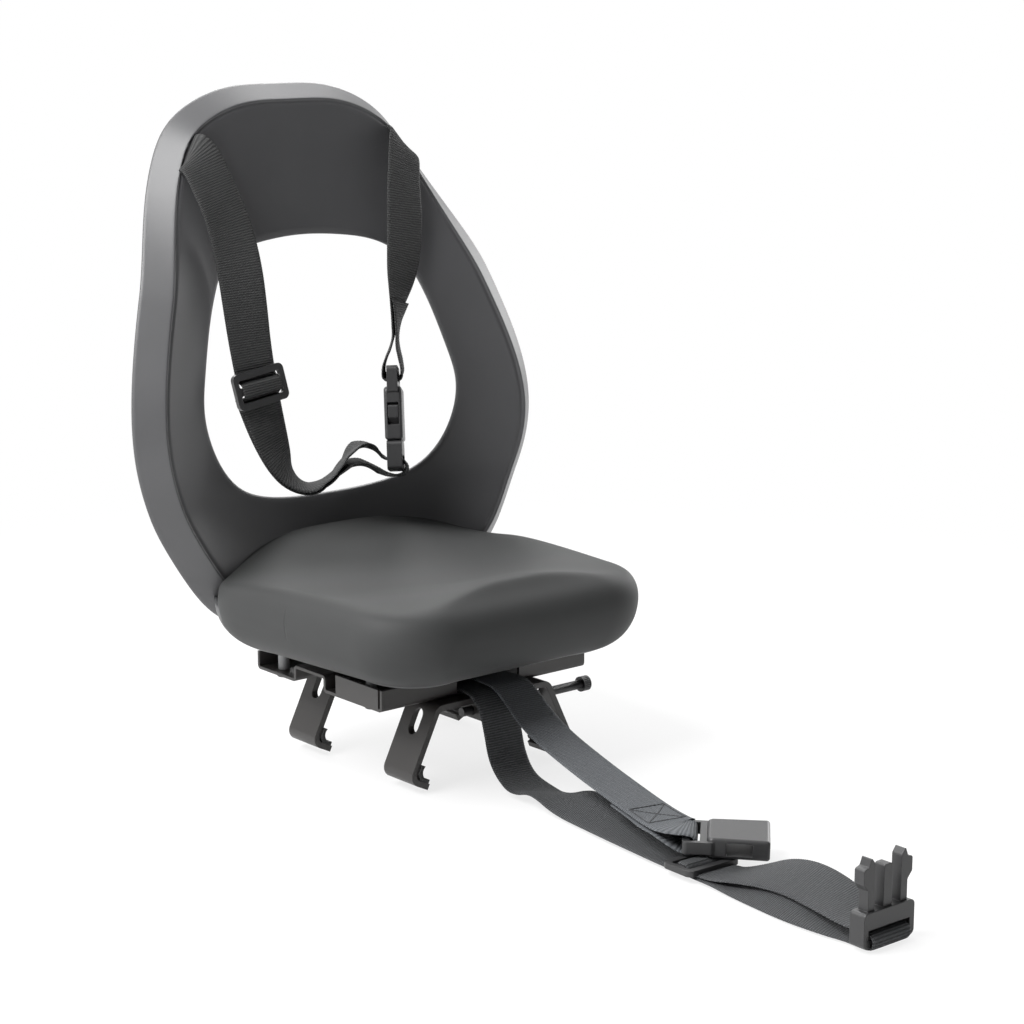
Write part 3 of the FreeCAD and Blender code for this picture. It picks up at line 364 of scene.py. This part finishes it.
def plan_loop(count):
    """Rounded four-cornered plan: an arc at each corner between its tangent points, read at even steps of
    its length."""
    parts = []
    for i, radius in enumerate(plan_radii):
        corner_place = plan_corners[i]
        before = plan_corners[i - 1] - corner_place
        after = plan_corners[(i + 1) % 4] - corner_place
        before = before / np.linalg.norm(before)
        after = after / np.linalg.norm(after)
        half = np.arccos(before @ after) / 2
        centre = corner_place + (before + after) / np.linalg.norm(before + after) * radius / np.sin(half)
        first = corner_place + before * radius / np.tan(half) - centre
        last = corner_place + after * radius / np.tan(half) - centre
        sweep_angle = np.pi - 2 * half
        share = np.linspace(0, 1, 60)[:, None]
        parts.append(centre + (first * np.sin((1 - share) * sweep_angle)
                               + last * np.sin(share * sweep_angle)) / np.sin(sweep_angle))
    loop = np.concatenate(parts + [parts[0][:1]])
    length = chords(loop)
    at = np.linspace(0, length[-1], count, endpoint=False)
    return np.stack([np.interp(at, length, loop[:, k]) for k in (0, 1)], -1)


plan_line = plan_loop(260)
plan_centre = np.array([0.0, -10.0])
plan_along = np.roll(plan_line, -1, 0) - np.roll(plan_line, 1, 0)
plan_out = np.stack([plan_along[:, 1], -plan_along[:, 0]], -1)
plan_out = plan_out / np.linalg.norm(plan_out, axis=1)[:, None]
plan_reach = ((plan_line - plan_centre) * plan_out).sum(1)
side_points = np.array([(44, 16), (32, 17.5), (16, 23), (5, 33), (0, 47), (0.5, 58), (5, 66), (13, 72),
                        (30, 88)], float)
floor_inset, floor_height = side_points[0]
side_length = chords(side_points)
side_at = np.linspace(0, side_length[-1], 400)
side_curve = cubic(side_length, side_points, side_at)
parting_rise = 0.135
parting_z = 47 + parting_rise * (plan_line[:, 1] - 47)
parting_at = np.interp(parting_z, side_curve[:, 1], side_at)


def drawn_in(inset):
    """Plan line drawn towards its centre so that each side moves in by the inset."""
    share = 1 - np.minimum(inset / plan_reach, 1)
    return plan_centre + (plan_line - plan_centre) * share[..., None]


def side_at_length(length):
    """Inset and height of the seat's side at a length along its profile."""
    return np.interp(length, side_at, side_curve[:, 0]), np.interp(length, side_at, side_curve[:, 1])


tray_wall = 3
tray_floor = 2.5
tray_rows = []
for share in np.linspace(0, 1, 12)[:-1]:
    flat = drawn_in(plan_reach - (plan_reach - floor_inset) * share)
    tray_rows.append(np.column_stack([flat, 0 * plan_reach + floor_height]))
for share in np.linspace(0, 1, 30):
    inset, height = side_at_length(parting_at * share)
    tray_rows.append(np.column_stack([drawn_in(inset), height]))
for share in np.linspace(1, 0, 16):
    inset, height = side_at_length(parting_at * share)
    tray_rows.append(np.column_stack([drawn_in(inset + tray_wall), height + 1.5 * (1 - share)]))
tray_rows.append(np.column_stack([drawn_in(plan_reach), 0 * plan_reach + floor_height + tray_floor]))
tray_piece = mesh_piece("seat_tray", np.stack(tray_rows))

rib_middle = np.array([0, -57, 12.8])
rib_half = np.array([0, 4, 5])
rib_turn = np.linspace(0, 2 * np.pi, 32, endpoint=False)
rib_round = np.stack([0 * rib_turn, np.cos(rib_turn), np.sin(rib_turn)], -1)
rib_ring = rib_middle + rib_half * np.sign(rib_round) * np.abs(rib_round) ** 0.4
rib_ends = np.linspace(-24, 27, 8)[:, None, None] * np.array([1.0, 0, 0])
rib_piece = mesh_piece("strap_rib", rib_ring + rib_ends)


def principled(name):
    """A material with its node tree's wrapper, its shader and its object coordinates."""
    made = bpy.data.materials.new(name)
    made.use_nodes = True
    tree = Shade(made.node_tree)
    place = tree.node("ShaderNodeTexCoord", output="Object")
    return made, tree, made.node_tree.nodes["Principled BSDF"], place


def moulded(name, tone, roughness, grain, depth, edge=0.0, specular=0.5, relief=None):
    """Moulded or coated skin. A slow noise wanders the tone and gloss, a fine one of the given grain size
    in metres is the bump, edges are rounded by the edge radius, and a relief may add its own height."""
    made, tree, shader, place = principled(name)
    shader.inputs["Specular IOR Level"].default_value = specular
    slow = tree.node("ShaderNodeTexNoise", inputs={"Vector": place, "Scale": 28.0, "Detail": 4.0})
    fine = tree.node("ShaderNodeTexNoise", inputs={"Vector": place, "Scale": 1 / grain, "Detail": 2.0})
    wander = 0.12
    low = tuple(c * (1 - wander) for c in tone) + (1,)
    high = tuple(c * (1 + wander) for c in tone) + (1,)
    tree.mix(slow * 0.7 + fine * 0.3, low, high).to(shader, "Base Color")
    (roughness - 0.05 + slow * 0.06 + fine * 0.05).to(shader, "Roughness")
    bump = {"Strength": 1.0, "Distance": depth, "Height": fine}
    if relief:
        axes = [tree.node("ShaderNodeSeparateXYZ", inputs={0: place}, output=axis) for axis in "XYZ"]
        bump["Height"] = fine + relief(*axes)
    if edge:
        bump["Normal"] = tree.node("ShaderNodeBevel", {"samples": 6}, {"Radius": edge})
    tree.node("ShaderNodeBump", inputs=bump).to(shader, "Normal")
    return made


shell_plastic = moulded("shell_plastic", (0.066, 0.066, 0.069), 0.42, 0.0006, 0.00004)
tray_plastic = moulded("tray_plastic", (0.060, 0.061, 0.063), 0.50, 0.0006, 0.00004)
back_piece.data.materials.clear()
back_piece.data.materials.append(shell_plastic)
tray_piece.data.materials.append(tray_plastic)
rib_piece.data.materials.append(tray_plastic)
shell = joined("seat_shell_moulding", [back_piece, tray_piece, rib_piece])
dressed(shell, "seat", "seat_shell")


# Cushion: soft foam moulded with its own skin, pressed into the tray. Its rear rises to the back, the
# middle is hollowed for the seat and the front has a raised bridge between two thigh dips.
sit_knots = np.array([-125, -108, -90, -60, -22, 18, 58, 102], float)
sit_middle = np.array([77.0, 79.5, 78.0, 71.0, 65.5, 66.5, 74.0, 85.0])[:, None]
sit_side = np.array([66.0, 68.0, 69.0, 70.0, 70.0, 68.5, 66.5, 66.0])[:, None]


def sit_height(x, y):
    """Height of the top: a line down the middle that falls or rises to a side line with the share of
    the width, to the power 2.6 at the rear and by an S curve at the front."""
    middle = cubic(sit_knots, sit_middle, y.ravel())[:, 0].reshape(y.shape)
    side = cubic(sit_knots, sit_side, y.ravel())[:, 0].reshape(y.shape)
    width = np.minimum(np.abs(x) / 100, 1.2)
    front = smooth_share(-y, 25, 92)
    share = width ** 2.6 * (1 - front) + smooth_share(width, 0.1, 0.95) * front
    return middle + (side - middle) * share


def soft_least(a, b, size):
    """The lesser of two heights, rounded over where they meet."""
    return -size * np.logaddexp(-a / size, -b / size)


crown_round = 1.7
wall_round = 0.6
wall_gap = 0.5
skirt_foot_z = 21.0
top_inset, top_height = side_points[-1]
at_back = 1 - 0.8 * smooth_share(plan_out[:, 1], 0.35, 0.95)
skirt = smooth_share(-plan_line[:, 1], -74, -46)
edge_at = parting_at + (np.interp(skirt_foot_z, side_curve[:, 1], side_at) - parting_at) * skirt
edge_inset, edge_height = side_at_length(edge_at)


def tucked(rise, extra, skirt_rise, skirt_extra):
    """Inset and height of a row at the cushion's lower edge, by its rise and extra inset in the tray and
    by those of the front skirt."""
    inset = edge_inset + extra + (skirt_extra - extra) * skirt
    return inset, edge_height + rise + (skirt_rise - rise) * skirt


tuck = [(-5, 4.5, 3, 4.5), (-2.0, 4.3, 3, 4), (0.4, 4.1, 2, 3), (0.5, 1.2, 1.2, 2), (0.6, 0.5, 0.5, 1),
        (1.0, 0.1, 0.1, 0.3)]
tuck_inset, tuck_height = tucked(*tuck[0])
cushion_rows = []
for share in np.linspace(0, 1, 10)[:-1]:
    flat = drawn_in(plan_reach + (tuck_inset - plan_reach) * share)
    cushion_rows.append(np.column_stack([flat, tuck_height]))
for row in tuck:
    inset, height = tucked(*row)
    cushion_rows.append(np.column_stack([drawn_in(inset), height]))
for share in np.linspace(0.04, 1, 64):
    inset, height = side_at_length(edge_at + (side_length[-1] - edge_at) * share)
    proud = 0.4 * skirt * (1 - smooth_share(height - parting_z, 0, 8))
    flat = drawn_in(inset * at_back - proud)
    cushion_rows.append(np.column_stack([flat, soft_least(height, sit_height(*flat.T), crown_round)]))
for share in np.linspace(0, 1, 42)[1:]:
    flat = drawn_in(top_inset * at_back + (plan_reach - top_inset * at_back) * share)
    height = top_height + 60 * share
    cushion_rows.append(np.column_stack([flat, soft_least(height, sit_height(*flat.T), crown_round)]))
cushion_grid = np.stack(cushion_rows)
wall_front = back_depth(cushion_grid[..., 0], cushion_grid[..., 2]) - wall_gap
cushion_grid[..., 1] = soft_least(cushion_grid[..., 1], wall_front, wall_round)
cushion = mesh_piece("cushion", cushion_grid)


def mould_mark(x, y, z):
    """Faint upright groove that the mould left half way along each side."""
    middle_y, middle_z, half_height, half_width, depth, side_x = -0.010, 0.051, 0.012, 0.0009, 9.0, 0.100
    aside = y - middle_y
    above = z - middle_z
    aside_range = {0: aside.math("ABSOLUTE", aside), 1: 0.0, 2: half_width, 3: -depth, 4: 0.0}
    line = y.node("ShaderNodeMapRange", inputs=aside_range)
    tall = 1.0 - above.math("ABSOLUTE", above) / half_height
    side = x.math("GREATER_THAN", x.math("ABSOLUTE", x), side_x)
    return line * tall.math("MAXIMUM", tall, 0.0) * side


cushion_skin = moulded("cushion_skin", (0.039, 0.040, 0.040), 0.62, 0.0009, 0.00006, specular=0.25,
                       relief=mould_mark)
cushion.data.materials.append(cushion_skin)
dressed(cushion, "seat", "seat_cushion")


# Mounting pan: folded sheet steel in satin black coating, bolted to the tray through zinc spacer tubes.
# The hooks and jaws under it have the same coating, and the stops behind the harness slots are zinc too.
def coat_nodes(slot, finish):
    """Give the CAD nodes of a record slot this finish; their shapes stay as they are."""
    for part in frame["record"]["subparts"]:
        if part["material_slot"] == slot:
            node = frame["nodes"][part["node"]]
            node.data.materials.clear()
            node.data.materials.append(finish)


coated_steel = moulded("coated_steel", (0.027, 0.025, 0.024), 0.40, 0.0011, 0.00003, edge=0.0007)
coat_nodes("coated_steel", coated_steel)
coat_nodes("spacer_steel", moulded("zinc", (0.20, 0.20, 0.205), 0.40, 0.0008, 0.00002))


# Rack clamps: bent steel hooks and sliding jaws with black moulded pads bonded into their feet, drawn in
# by cap screws with black oxide threads and knurled heads; the rivets and the pan's bolts are black too.
def screw_lines(x, y, z):
    """Height of the two cap screws' thread, a sine with a 1 mm pitch along x, and of the straight knurl
    round their heads; fasteners that lie higher stay plain."""
    thread_turn, thread_height = 6283.2, 14.0
    knurl_teeth, knurl_height = 26.0, 22.0
    front_y, rear_further, middle_z, head_x, top_z = -0.0605, 0.103, -0.0135, 0.0845, -0.0075
    rings = x.math("SINE", x * thread_turn)
    aside = y - front_y - y.math("GREATER_THAN", y, 0.0) * rear_further
    knurl = z.math("SINE", z.math("ARCTAN2", z - middle_z, aside) * knurl_teeth)
    head = x.math("GREATER_THAN", x, head_x)
    below = z.math("LESS_THAN", z, top_z)
    return (rings * thread_height * (1.0 - head) + knurl * knurl_height * head) * below


black_oxide = moulded("black_oxide", (0.020, 0.020, 0.021), 0.34, 0.0005, 0.00001, edge=0.0004,
                      relief=screw_lines)
coat_nodes("black_fasteners", black_oxide)
coat_nodes("pad_rubber", moulded("pad_rubber", (0.016, 0.016, 0.016), 0.62, 0.0007, 0.00005, edge=0.0008))


# Chest harness: charcoal polypropylene webbing, woven in ribs, from the slots beside the headrest. The left
# strap runs through a slider and round the buckle's clip, and the right one is sewn round the socket's
# bar. Slider and buckle are moulded plastic, and those of the lap belt have the same finish.
def curve_points(points, step):
    """Smooth line near control points: each run is the parabola between the middles of two spans that
    leans towards the point they share; the result is read at even steps of its length."""
    points = np.array(points, float)
    points = np.concatenate([2 * points[:1] - points[1:2], points, 2 * points[-1:] - points[-2:-1]])
    t = np.linspace(0, 1, 24, endpoint=False)[:, None]
    runs = [((1 - t) ** 2 * a + (1 + 2 * t - 2 * t * t) * b + t * t * c) / 2
            for a, b, c in zip(points, points[1:], points[2:])]
    line = np.concatenate(runs + [(points[-2:-1] + points[-1:]) / 2])
    length = chords(line[:, :3])
    at = np.arange(0, length[-1], step)
    return np.stack([np.interp(at, length, line[:, k]) for k in range(line.shape[1])], -1), at


strap_width = 30.0
strap_thickness = 1.8
rib_pitch = 1.6
rib_swell = 0.16


def strap_lie(route, over=None):
    """How a strap lies: its lengths, its middle line and the directions ahead, across and off its face. Each
    point of the route holds a place and the direction of the width there. Over is a bar's place and the
    side on which the strap climbs over it by an S curve."""
    climb_height, climb_end, climb_start = 5.7, 2.8, 7.4
    line, at = curve_points(route, 0.4)
    middle = line[:, :3]
    ahead = np.gradient(middle, axis=0)
    ahead = ahead / np.linalg.norm(ahead, axis=1)[:, None]
    width = line[:, 3:] - ahead * (line[:, 3:] * ahead).sum(1)[:, None]
    width = width / np.linalg.norm(width, axis=1)[:, None]
    face = np.cross(ahead, width)
    if over:
        bar, side = (np.array(value, float) for value in over)
        nearest = np.linalg.norm(middle - bar, axis=1).argmin()
        climb = climb_height * (1 - smooth_share(np.abs(at - at[nearest]), climb_end, climb_start))
        middle = middle + face * climb[:, None] * np.sign(face[nearest] @ side)
    return at, middle, ahead, width, face


def webbing_strap(name, lie):
    """Ribbon along its lie: each row is a flat rounded section whose half thickness and half width swell
    with the ribs. The map holds the length and the place across, in metres."""
    at, middle, _, width, face = lie
    place = np.linspace(-1, 1, 19)
    round_off = np.sqrt(np.clip(1 - np.abs(place) ** 14, 0.03, 1))
    swell = rib_swell * np.abs(np.sin(np.pi * at / rib_pitch))[:, None]
    lift = round_off * (strap_thickness / 2 - rib_swell + swell)
    spread = place * (strap_width / 2 - 0.12 + swell)
    spread = np.concatenate([spread, spread[:, ::-1]], 1)
    lift = np.concatenate([lift, -lift[:, ::-1]], 1)
    grid = middle[:, None] + width[:, None] * spread[..., None] + face[:, None] * lift[..., None]
    uv = np.stack([np.broadcast_to(at[:, None], spread.shape), spread], -1) / 1000
    return mesh_piece(name, grid, uv=uv), at[-1]


def woven(name, gap_shade_tone, light):
    """Ribbed webbing: rows of short slanted threads across the strap, shifted by half a thread from row to
    row; thread tops are lighter, the gaps between threads are darkened with painted shade, and a noise frays
    the tone."""
    made, tree, shader, place = principled(name)
    shader.inputs["Roughness"].default_value = 0.75
    shader.inputs["Specular IOR Level"].default_value = 0.25
    flat = tree.node("ShaderNodeUVMap", {"uv_map": "UVMap"})
    length = tree.node("ShaderNodeSeparateXYZ", inputs={0: flat}, output="X") * 1000 / rib_pitch
    across = tree.node("ShaderNodeSeparateXYZ", inputs={0: flat}, output="Y") * 1000 / 0.95
    row = length.math("FLOOR", length)
    within = length - row
    shifted = across + row * 0.5 + within * 0.5
    thread = shifted.math("SINE", (shifted - shifted.math("FLOOR", shifted)) * np.pi)
    rib = within.math("SINE", within * np.pi)
    height = thread * 0.55 + rib * 0.45
    fray = tree.node("ShaderNodeTexNoise", inputs={"Vector": place, "Scale": 900.0, "Detail": 3.0})
    # painted shade: the colour runs from the dark tone in the gaps between threads up to the lighter thread
    # tops
    share = height.math("POWER", height, 2.0) * (fray * 0.9 + 0.45)
    tree.mix(share, gap_shade_tone + (1,), light + (1,)).to(shader, "Base Color")
    bump = {"Strength": 0.9, "Distance": 0.0004, "Height": height + fray * 0.3}
    tree.node("ShaderNodeBump", inputs=bump).to(shader, "Normal")
    return made


charcoal_webbing = woven("charcoal_webbing", (0.007, 0.007, 0.008), (0.085, 0.086, 0.085))
buckle_plastic = moulded("buckle_plastic", (0.026, 0.026, 0.027), 0.42, 0.0006, 0.00004, edge=0.0007)
coat_nodes("buckle_plastic", buckle_plastic)

chest_left_route = [
    (-84.1, 134.4, 327.9, -0.55, -0.24, -0.8), (-85.4, 130.3, 330.2, -0.55, -0.24, -0.8),
    (-84.8, 126, 330.7, -0.6, -0.24, -0.75), (-82, 120.5, 325.5, -0.72, -0.1, -0.68),
    (-78.5, 114.5, 312, -0.85, 0, -0.52), (-74.5, 110, 298, -0.93, 0.05, -0.37),
    (-70, 106.5, 281, -0.95, 0.2, -0.28), (-67, 102, 256, -0.92, 0.32, -0.18),
    (-66, 98.5, 232, -0.95, 0.24, -0.18), (-65.6, 94.5, 208, -0.98, 0.1, -0.2),
    (-63.5, 90, 181, -0.98, 0.02, -0.2), (-59, 85, 152, -0.97, -0.15, -0.2),
    (-53.5, 81.5, 134, -0.9, -0.4, -0.15), (-46, 80, 121, -0.75, -0.66, -0.05),
    (-34, 79, 113.5, -0.65, -0.75, 0.06), (-21, 79, 114.8, -0.63, -0.77, 0.08),
    (-9, 81, 119.8, -0.63, -0.77, 0.06), (0.5, 83, 126.5, -0.63, -0.77, 0.04),
    (14.5, 86, 133.5, -0.63, -0.75, 0.06), (26, 86.5, 131, -0.63, -0.75, 0.12),
    (33, 84.5, 124.5, -0.63, -0.74, 0.2), (36.5, 82, 121.8, -0.63, -0.74, 0.24),
    (40.4, 78.9, 121.6, -0.63, -0.74, 0.24), (44.5, 75.6, 121.6, -0.63, -0.74, 0.24),
    (46.2, 73.0, 117, -0.63, -0.74, 0.24), (43.0, 73.9, 111.5, -0.63, -0.74, 0.24),
    (35.5, 79.5, 111.5, -0.63, -0.75, 0.16), (27, 84, 116.5, -0.63, -0.75, 0.1),
    (16, 85, 121.5, -0.63, -0.76, 0.06), (3, 82.5, 121.5, -0.63, -0.77, 0.06),
    (-9, 80.5, 117, -0.63, -0.77, 0.06), (-21, 78.8, 112.2, -0.63, -0.77, 0.08),
    (-34.4, 79, 110.9, -0.65, -0.75, 0.06), (-47.2, 81.6, 119.6, -0.75, -0.66, -0.05),
    (-54.0, 83.8, 133.4, -0.9, -0.4, -0.15), (-59, 87.4, 151.8, -0.97, -0.15, -0.2),
    (-62.0, 91.2, 168, -0.98, 0.02, -0.2)]
chest_slider_bar = ((-63.5, 90, 181), (0, -1, 0))
chest_left_lie = strap_lie(chest_left_route, chest_slider_bar)
chest_left, chest_left_length = webbing_strap("chest_webbing_left", chest_left_lie)
chest_left.data.materials.append(charcoal_webbing)
dressed(chest_left, "seat", "chest_strap_left")
chest_left_length / 1000

chest_right_route = [
    (84.1, 134.4, 327.9, 0.55, -0.24, -0.8), (85.6, 130.3, 330.2, 0.55, -0.24, -0.8),
    (85.2, 126, 330.5, 0.6, -0.24, -0.75), (82, 120.5, 325, 0.72, -0.1, -0.68),
    (77.5, 115.5, 312, 0.85, 0, -0.52), (74, 111, 298, 0.95, 0, -0.3), (71.5, 107, 281, 1, 0, -0.1),
    (67.5, 103, 260, 1, 0.05, 0), (63, 100.5, 243.5, 0.96, 0.2, 0), (57.8, 98.5, 227, 0.86, 0.5, 0),
    (54.7, 97.5, 214, 0.72, 0.7, 0), (53.2, 97, 203, 0.64, 0.77, 0),
    (50.4, 96.8, 195.5, 0.64, 0.77, 0), (46.0, 96.8, 187.5, 0.64, 0.77, 0),
    (43.1, 95.3, 180.4, 0.64, 0.77, 0), (43.6, 93.3, 175.2, 0.64, 0.77, 0),
    (51.0, 87.1, 175.2, 0.64, 0.77, 0), (52.8, 87.3, 180.4, 0.64, 0.77, 0),
    (53.8, 90.3, 187.5, 0.64, 0.77, 0), (54.3, 93.8, 195.5, 0.64, 0.77, 0),
    (55.0, 95.5, 203, 0.64, 0.77, 0), (56.4, 95.8, 214, 0.72, 0.7, 0),
    (58.2, 96.3, 222, 0.82, 0.56, 0)]
chest_right, chest_right_length = webbing_strap("chest_webbing_right", strap_lie(chest_right_route))
chest_right.data.materials.append(charcoal_webbing)
dressed(chest_right, "seat", "chest_strap_right")
chest_right_length / 1000


# Lap belt: a lighter grey strap with the buckle's socket sewn to its end, and a long charcoal strap that
# runs round the clip's bar and back to a slider; both leave the pan's front notch and lie out in front.
def stitch_box(lie, run):
    """Stitches on a strap's upper face: one thread along a box over a run of lengths and along the box's
    diagonals, pinched at each stitch."""
    at, middle, ahead, width, face = lie
    stitch = 2.8
    half_box = 12
    corners = np.array([(0, 0), (1, 0), (1, 1), (0, 1), (0, 0), (1, 1), (1, 0), (0, 1)], float)
    corners = corners * [run[1] - run[0], 2 * half_box] + [run[0], -half_box]
    length = chords(corners)
    steps = np.arange(0, length[-1], 0.3)
    reach, aside = (np.interp(steps, length, corners[:, k])[:, None] for k in (0, 1))
    row = np.clip(np.searchsorted(at, reach[:, 0]), 0, len(at) - 1)
    upper = face[row] * np.sign(face[row][:, 2:])
    path = middle[row] + ahead[row] * (reach - at[row][:, None]) + width[row] * aside + upper * 0.85
    onward = np.gradient(path, axis=0)
    onward = onward / np.linalg.norm(onward, axis=1)[:, None]
    girth = np.linspace(0, 2 * np.pi, 8, endpoint=False)[:, None]
    thick = (0.12 + 0.38 * np.sqrt(np.abs(np.sin(np.pi * steps / stitch))))[:, None, None]
    ring = np.cross(onward, upper)[:, None] * np.cos(girth) + upper[:, None] * np.sin(girth)
    return mesh_piece("thread", path[:, None] + ring * thick)


grey_webbing = woven("grey_webbing", (0.045, 0.048, 0.052), (0.165, 0.174, 0.186))
lap_webbing = woven("lap_webbing", (0.012, 0.0125, 0.0135), (0.115, 0.119, 0.124))
sewing_thread = moulded("sewing_thread", (0.030, 0.032, 0.035), 0.7, 0.0004, 0.00003)

lap_short_route = [
    (10, -42, 5.4, 1, 0, 0), (10, -69, 5.4, 1, 0, 0), (10.4, -78, 4.2, 1, 0, 0),
    (10.8, -88, -2.5, 1, 0, 0), (7.5, -114, -17, 1, -0.1, 0), (0, -164, -27, 1, -0.15, 0),
    (-7, -209, -33.5, 1, -0.1, 0), (-12, -235, -35.8, 1, 0, 0), (-17.5, -252, -35.0, 0.97, 0.05, 0),
    (-19.8, -262.3, -34.2, 0.85, 0.5, 0), (-16.2, -267.8, -34.2, 0.71, 0.7, 0),
    (-13.5, -270.5, -35.8, 0.71, 0.7, 0), (-12.9, -271.1, -41, 0.71, 0.7, 0),
    (-13.6, -270.4, -45.2, 0.71, 0.7, 0), (-17.2, -266.8, -45.8, 0.71, 0.7, 0),
    (-20.6, -261.5, -42.0, 0.85, 0.5, 0), (-18.4, -251, -38.0, 0.97, 0.05, 0),
    (-12.3, -235, -38.2, 1, 0, 0), (-8.6, -218, -36.8, 1, -0.05, 0)]
sewn_run = (206, 232)
lap_short_lie = strap_lie(lap_short_route)
lap_strap, lap_short_length = webbing_strap("lap_webbing_short", lap_short_lie)
lap_strap.data.materials.append(grey_webbing)
lap_thread = stitch_box(lap_short_lie, sewn_run)
lap_thread.data.materials.append(sewing_thread)
lap_short = joined("lap_webbing_short", [lap_strap, lap_thread])
dressed(lap_short, "seat", "lap_strap_short")
lap_short_length / 1000

lap_long_route = [
    (-7, -42, 3.2, 1, 0, 0), (-7, -69, 3.2, 1, 0, 0), (-7, -78, 1.6, 1, 0, 0), (-7, -86, -6, 1, 0, 0),
    (-7, -90.5, -20, 1, 0, 0), (-7.5, -95, -35, 1, 0, 0), (-8, -104, -46, 1, 0, -0.05),
    (-9.5, -120, -51, 1, 0, 0.05), (-11.5, -140, -48.3, 0.97, -0.1, -0.26),
    (-14, -168, -46, 0.9, -0.1, 0.42), (-17, -195, -47, 0.93, -0.1, 0.33),
    (-20, -231, -50.4, 0.98, -0.1, 0.1), (-23, -269, -52.2, 1, -0.1, 0),
    (-24, -300, -52.4, 1, -0.05, 0), (-24.5, -315, -52.2, 1, 0, 0.02),
    (-28, -340, -48.0, 0.93, 0, 0.36), (-31, -368, -47.6, 0.92, 0, 0.38),
    (-30, -392, -49.8, 0.97, 0.05, 0.2), (-27, -409, -52.6, 1, 0.05, 0), (-26, -419, -53.5, 1, 0, 0),
    (-26, -430.8, -53.5, 1, 0, 0), (-26, -431.6, -45.3, 1, 0, 0), (-26, -419, -44.6, 1, 0, 0),
    (-25.5, -408, -43.6, 0.98, 0.05, 0.15), (-22.5, -388, -40.0, 0.93, 0.08, 0.36),
    (-18.5, -362, -38.5, 0.9, 0.1, 0.42), (-17.5, -340, -41.0, 0.93, 0.06, 0.34),
    (-19.5, -322, -46.5, 0.98, 0, 0.14), (-22.5, -308, -50.2, 1, -0.03, 0.02),
    (-23.4, -299.4, -50.5, 1, -0.05, 0)]
lap_slider_bar = ((-23.6, -286, -51.7), (0, 0, 1))
lap_long, lap_long_length = webbing_strap("lap_webbing_long", strap_lie(lap_long_route, lap_slider_bar))
lap_long.data.materials.append(lap_webbing)
dressed(lap_long, "seat", "lap_strap_long")
lap_long_length / 1000
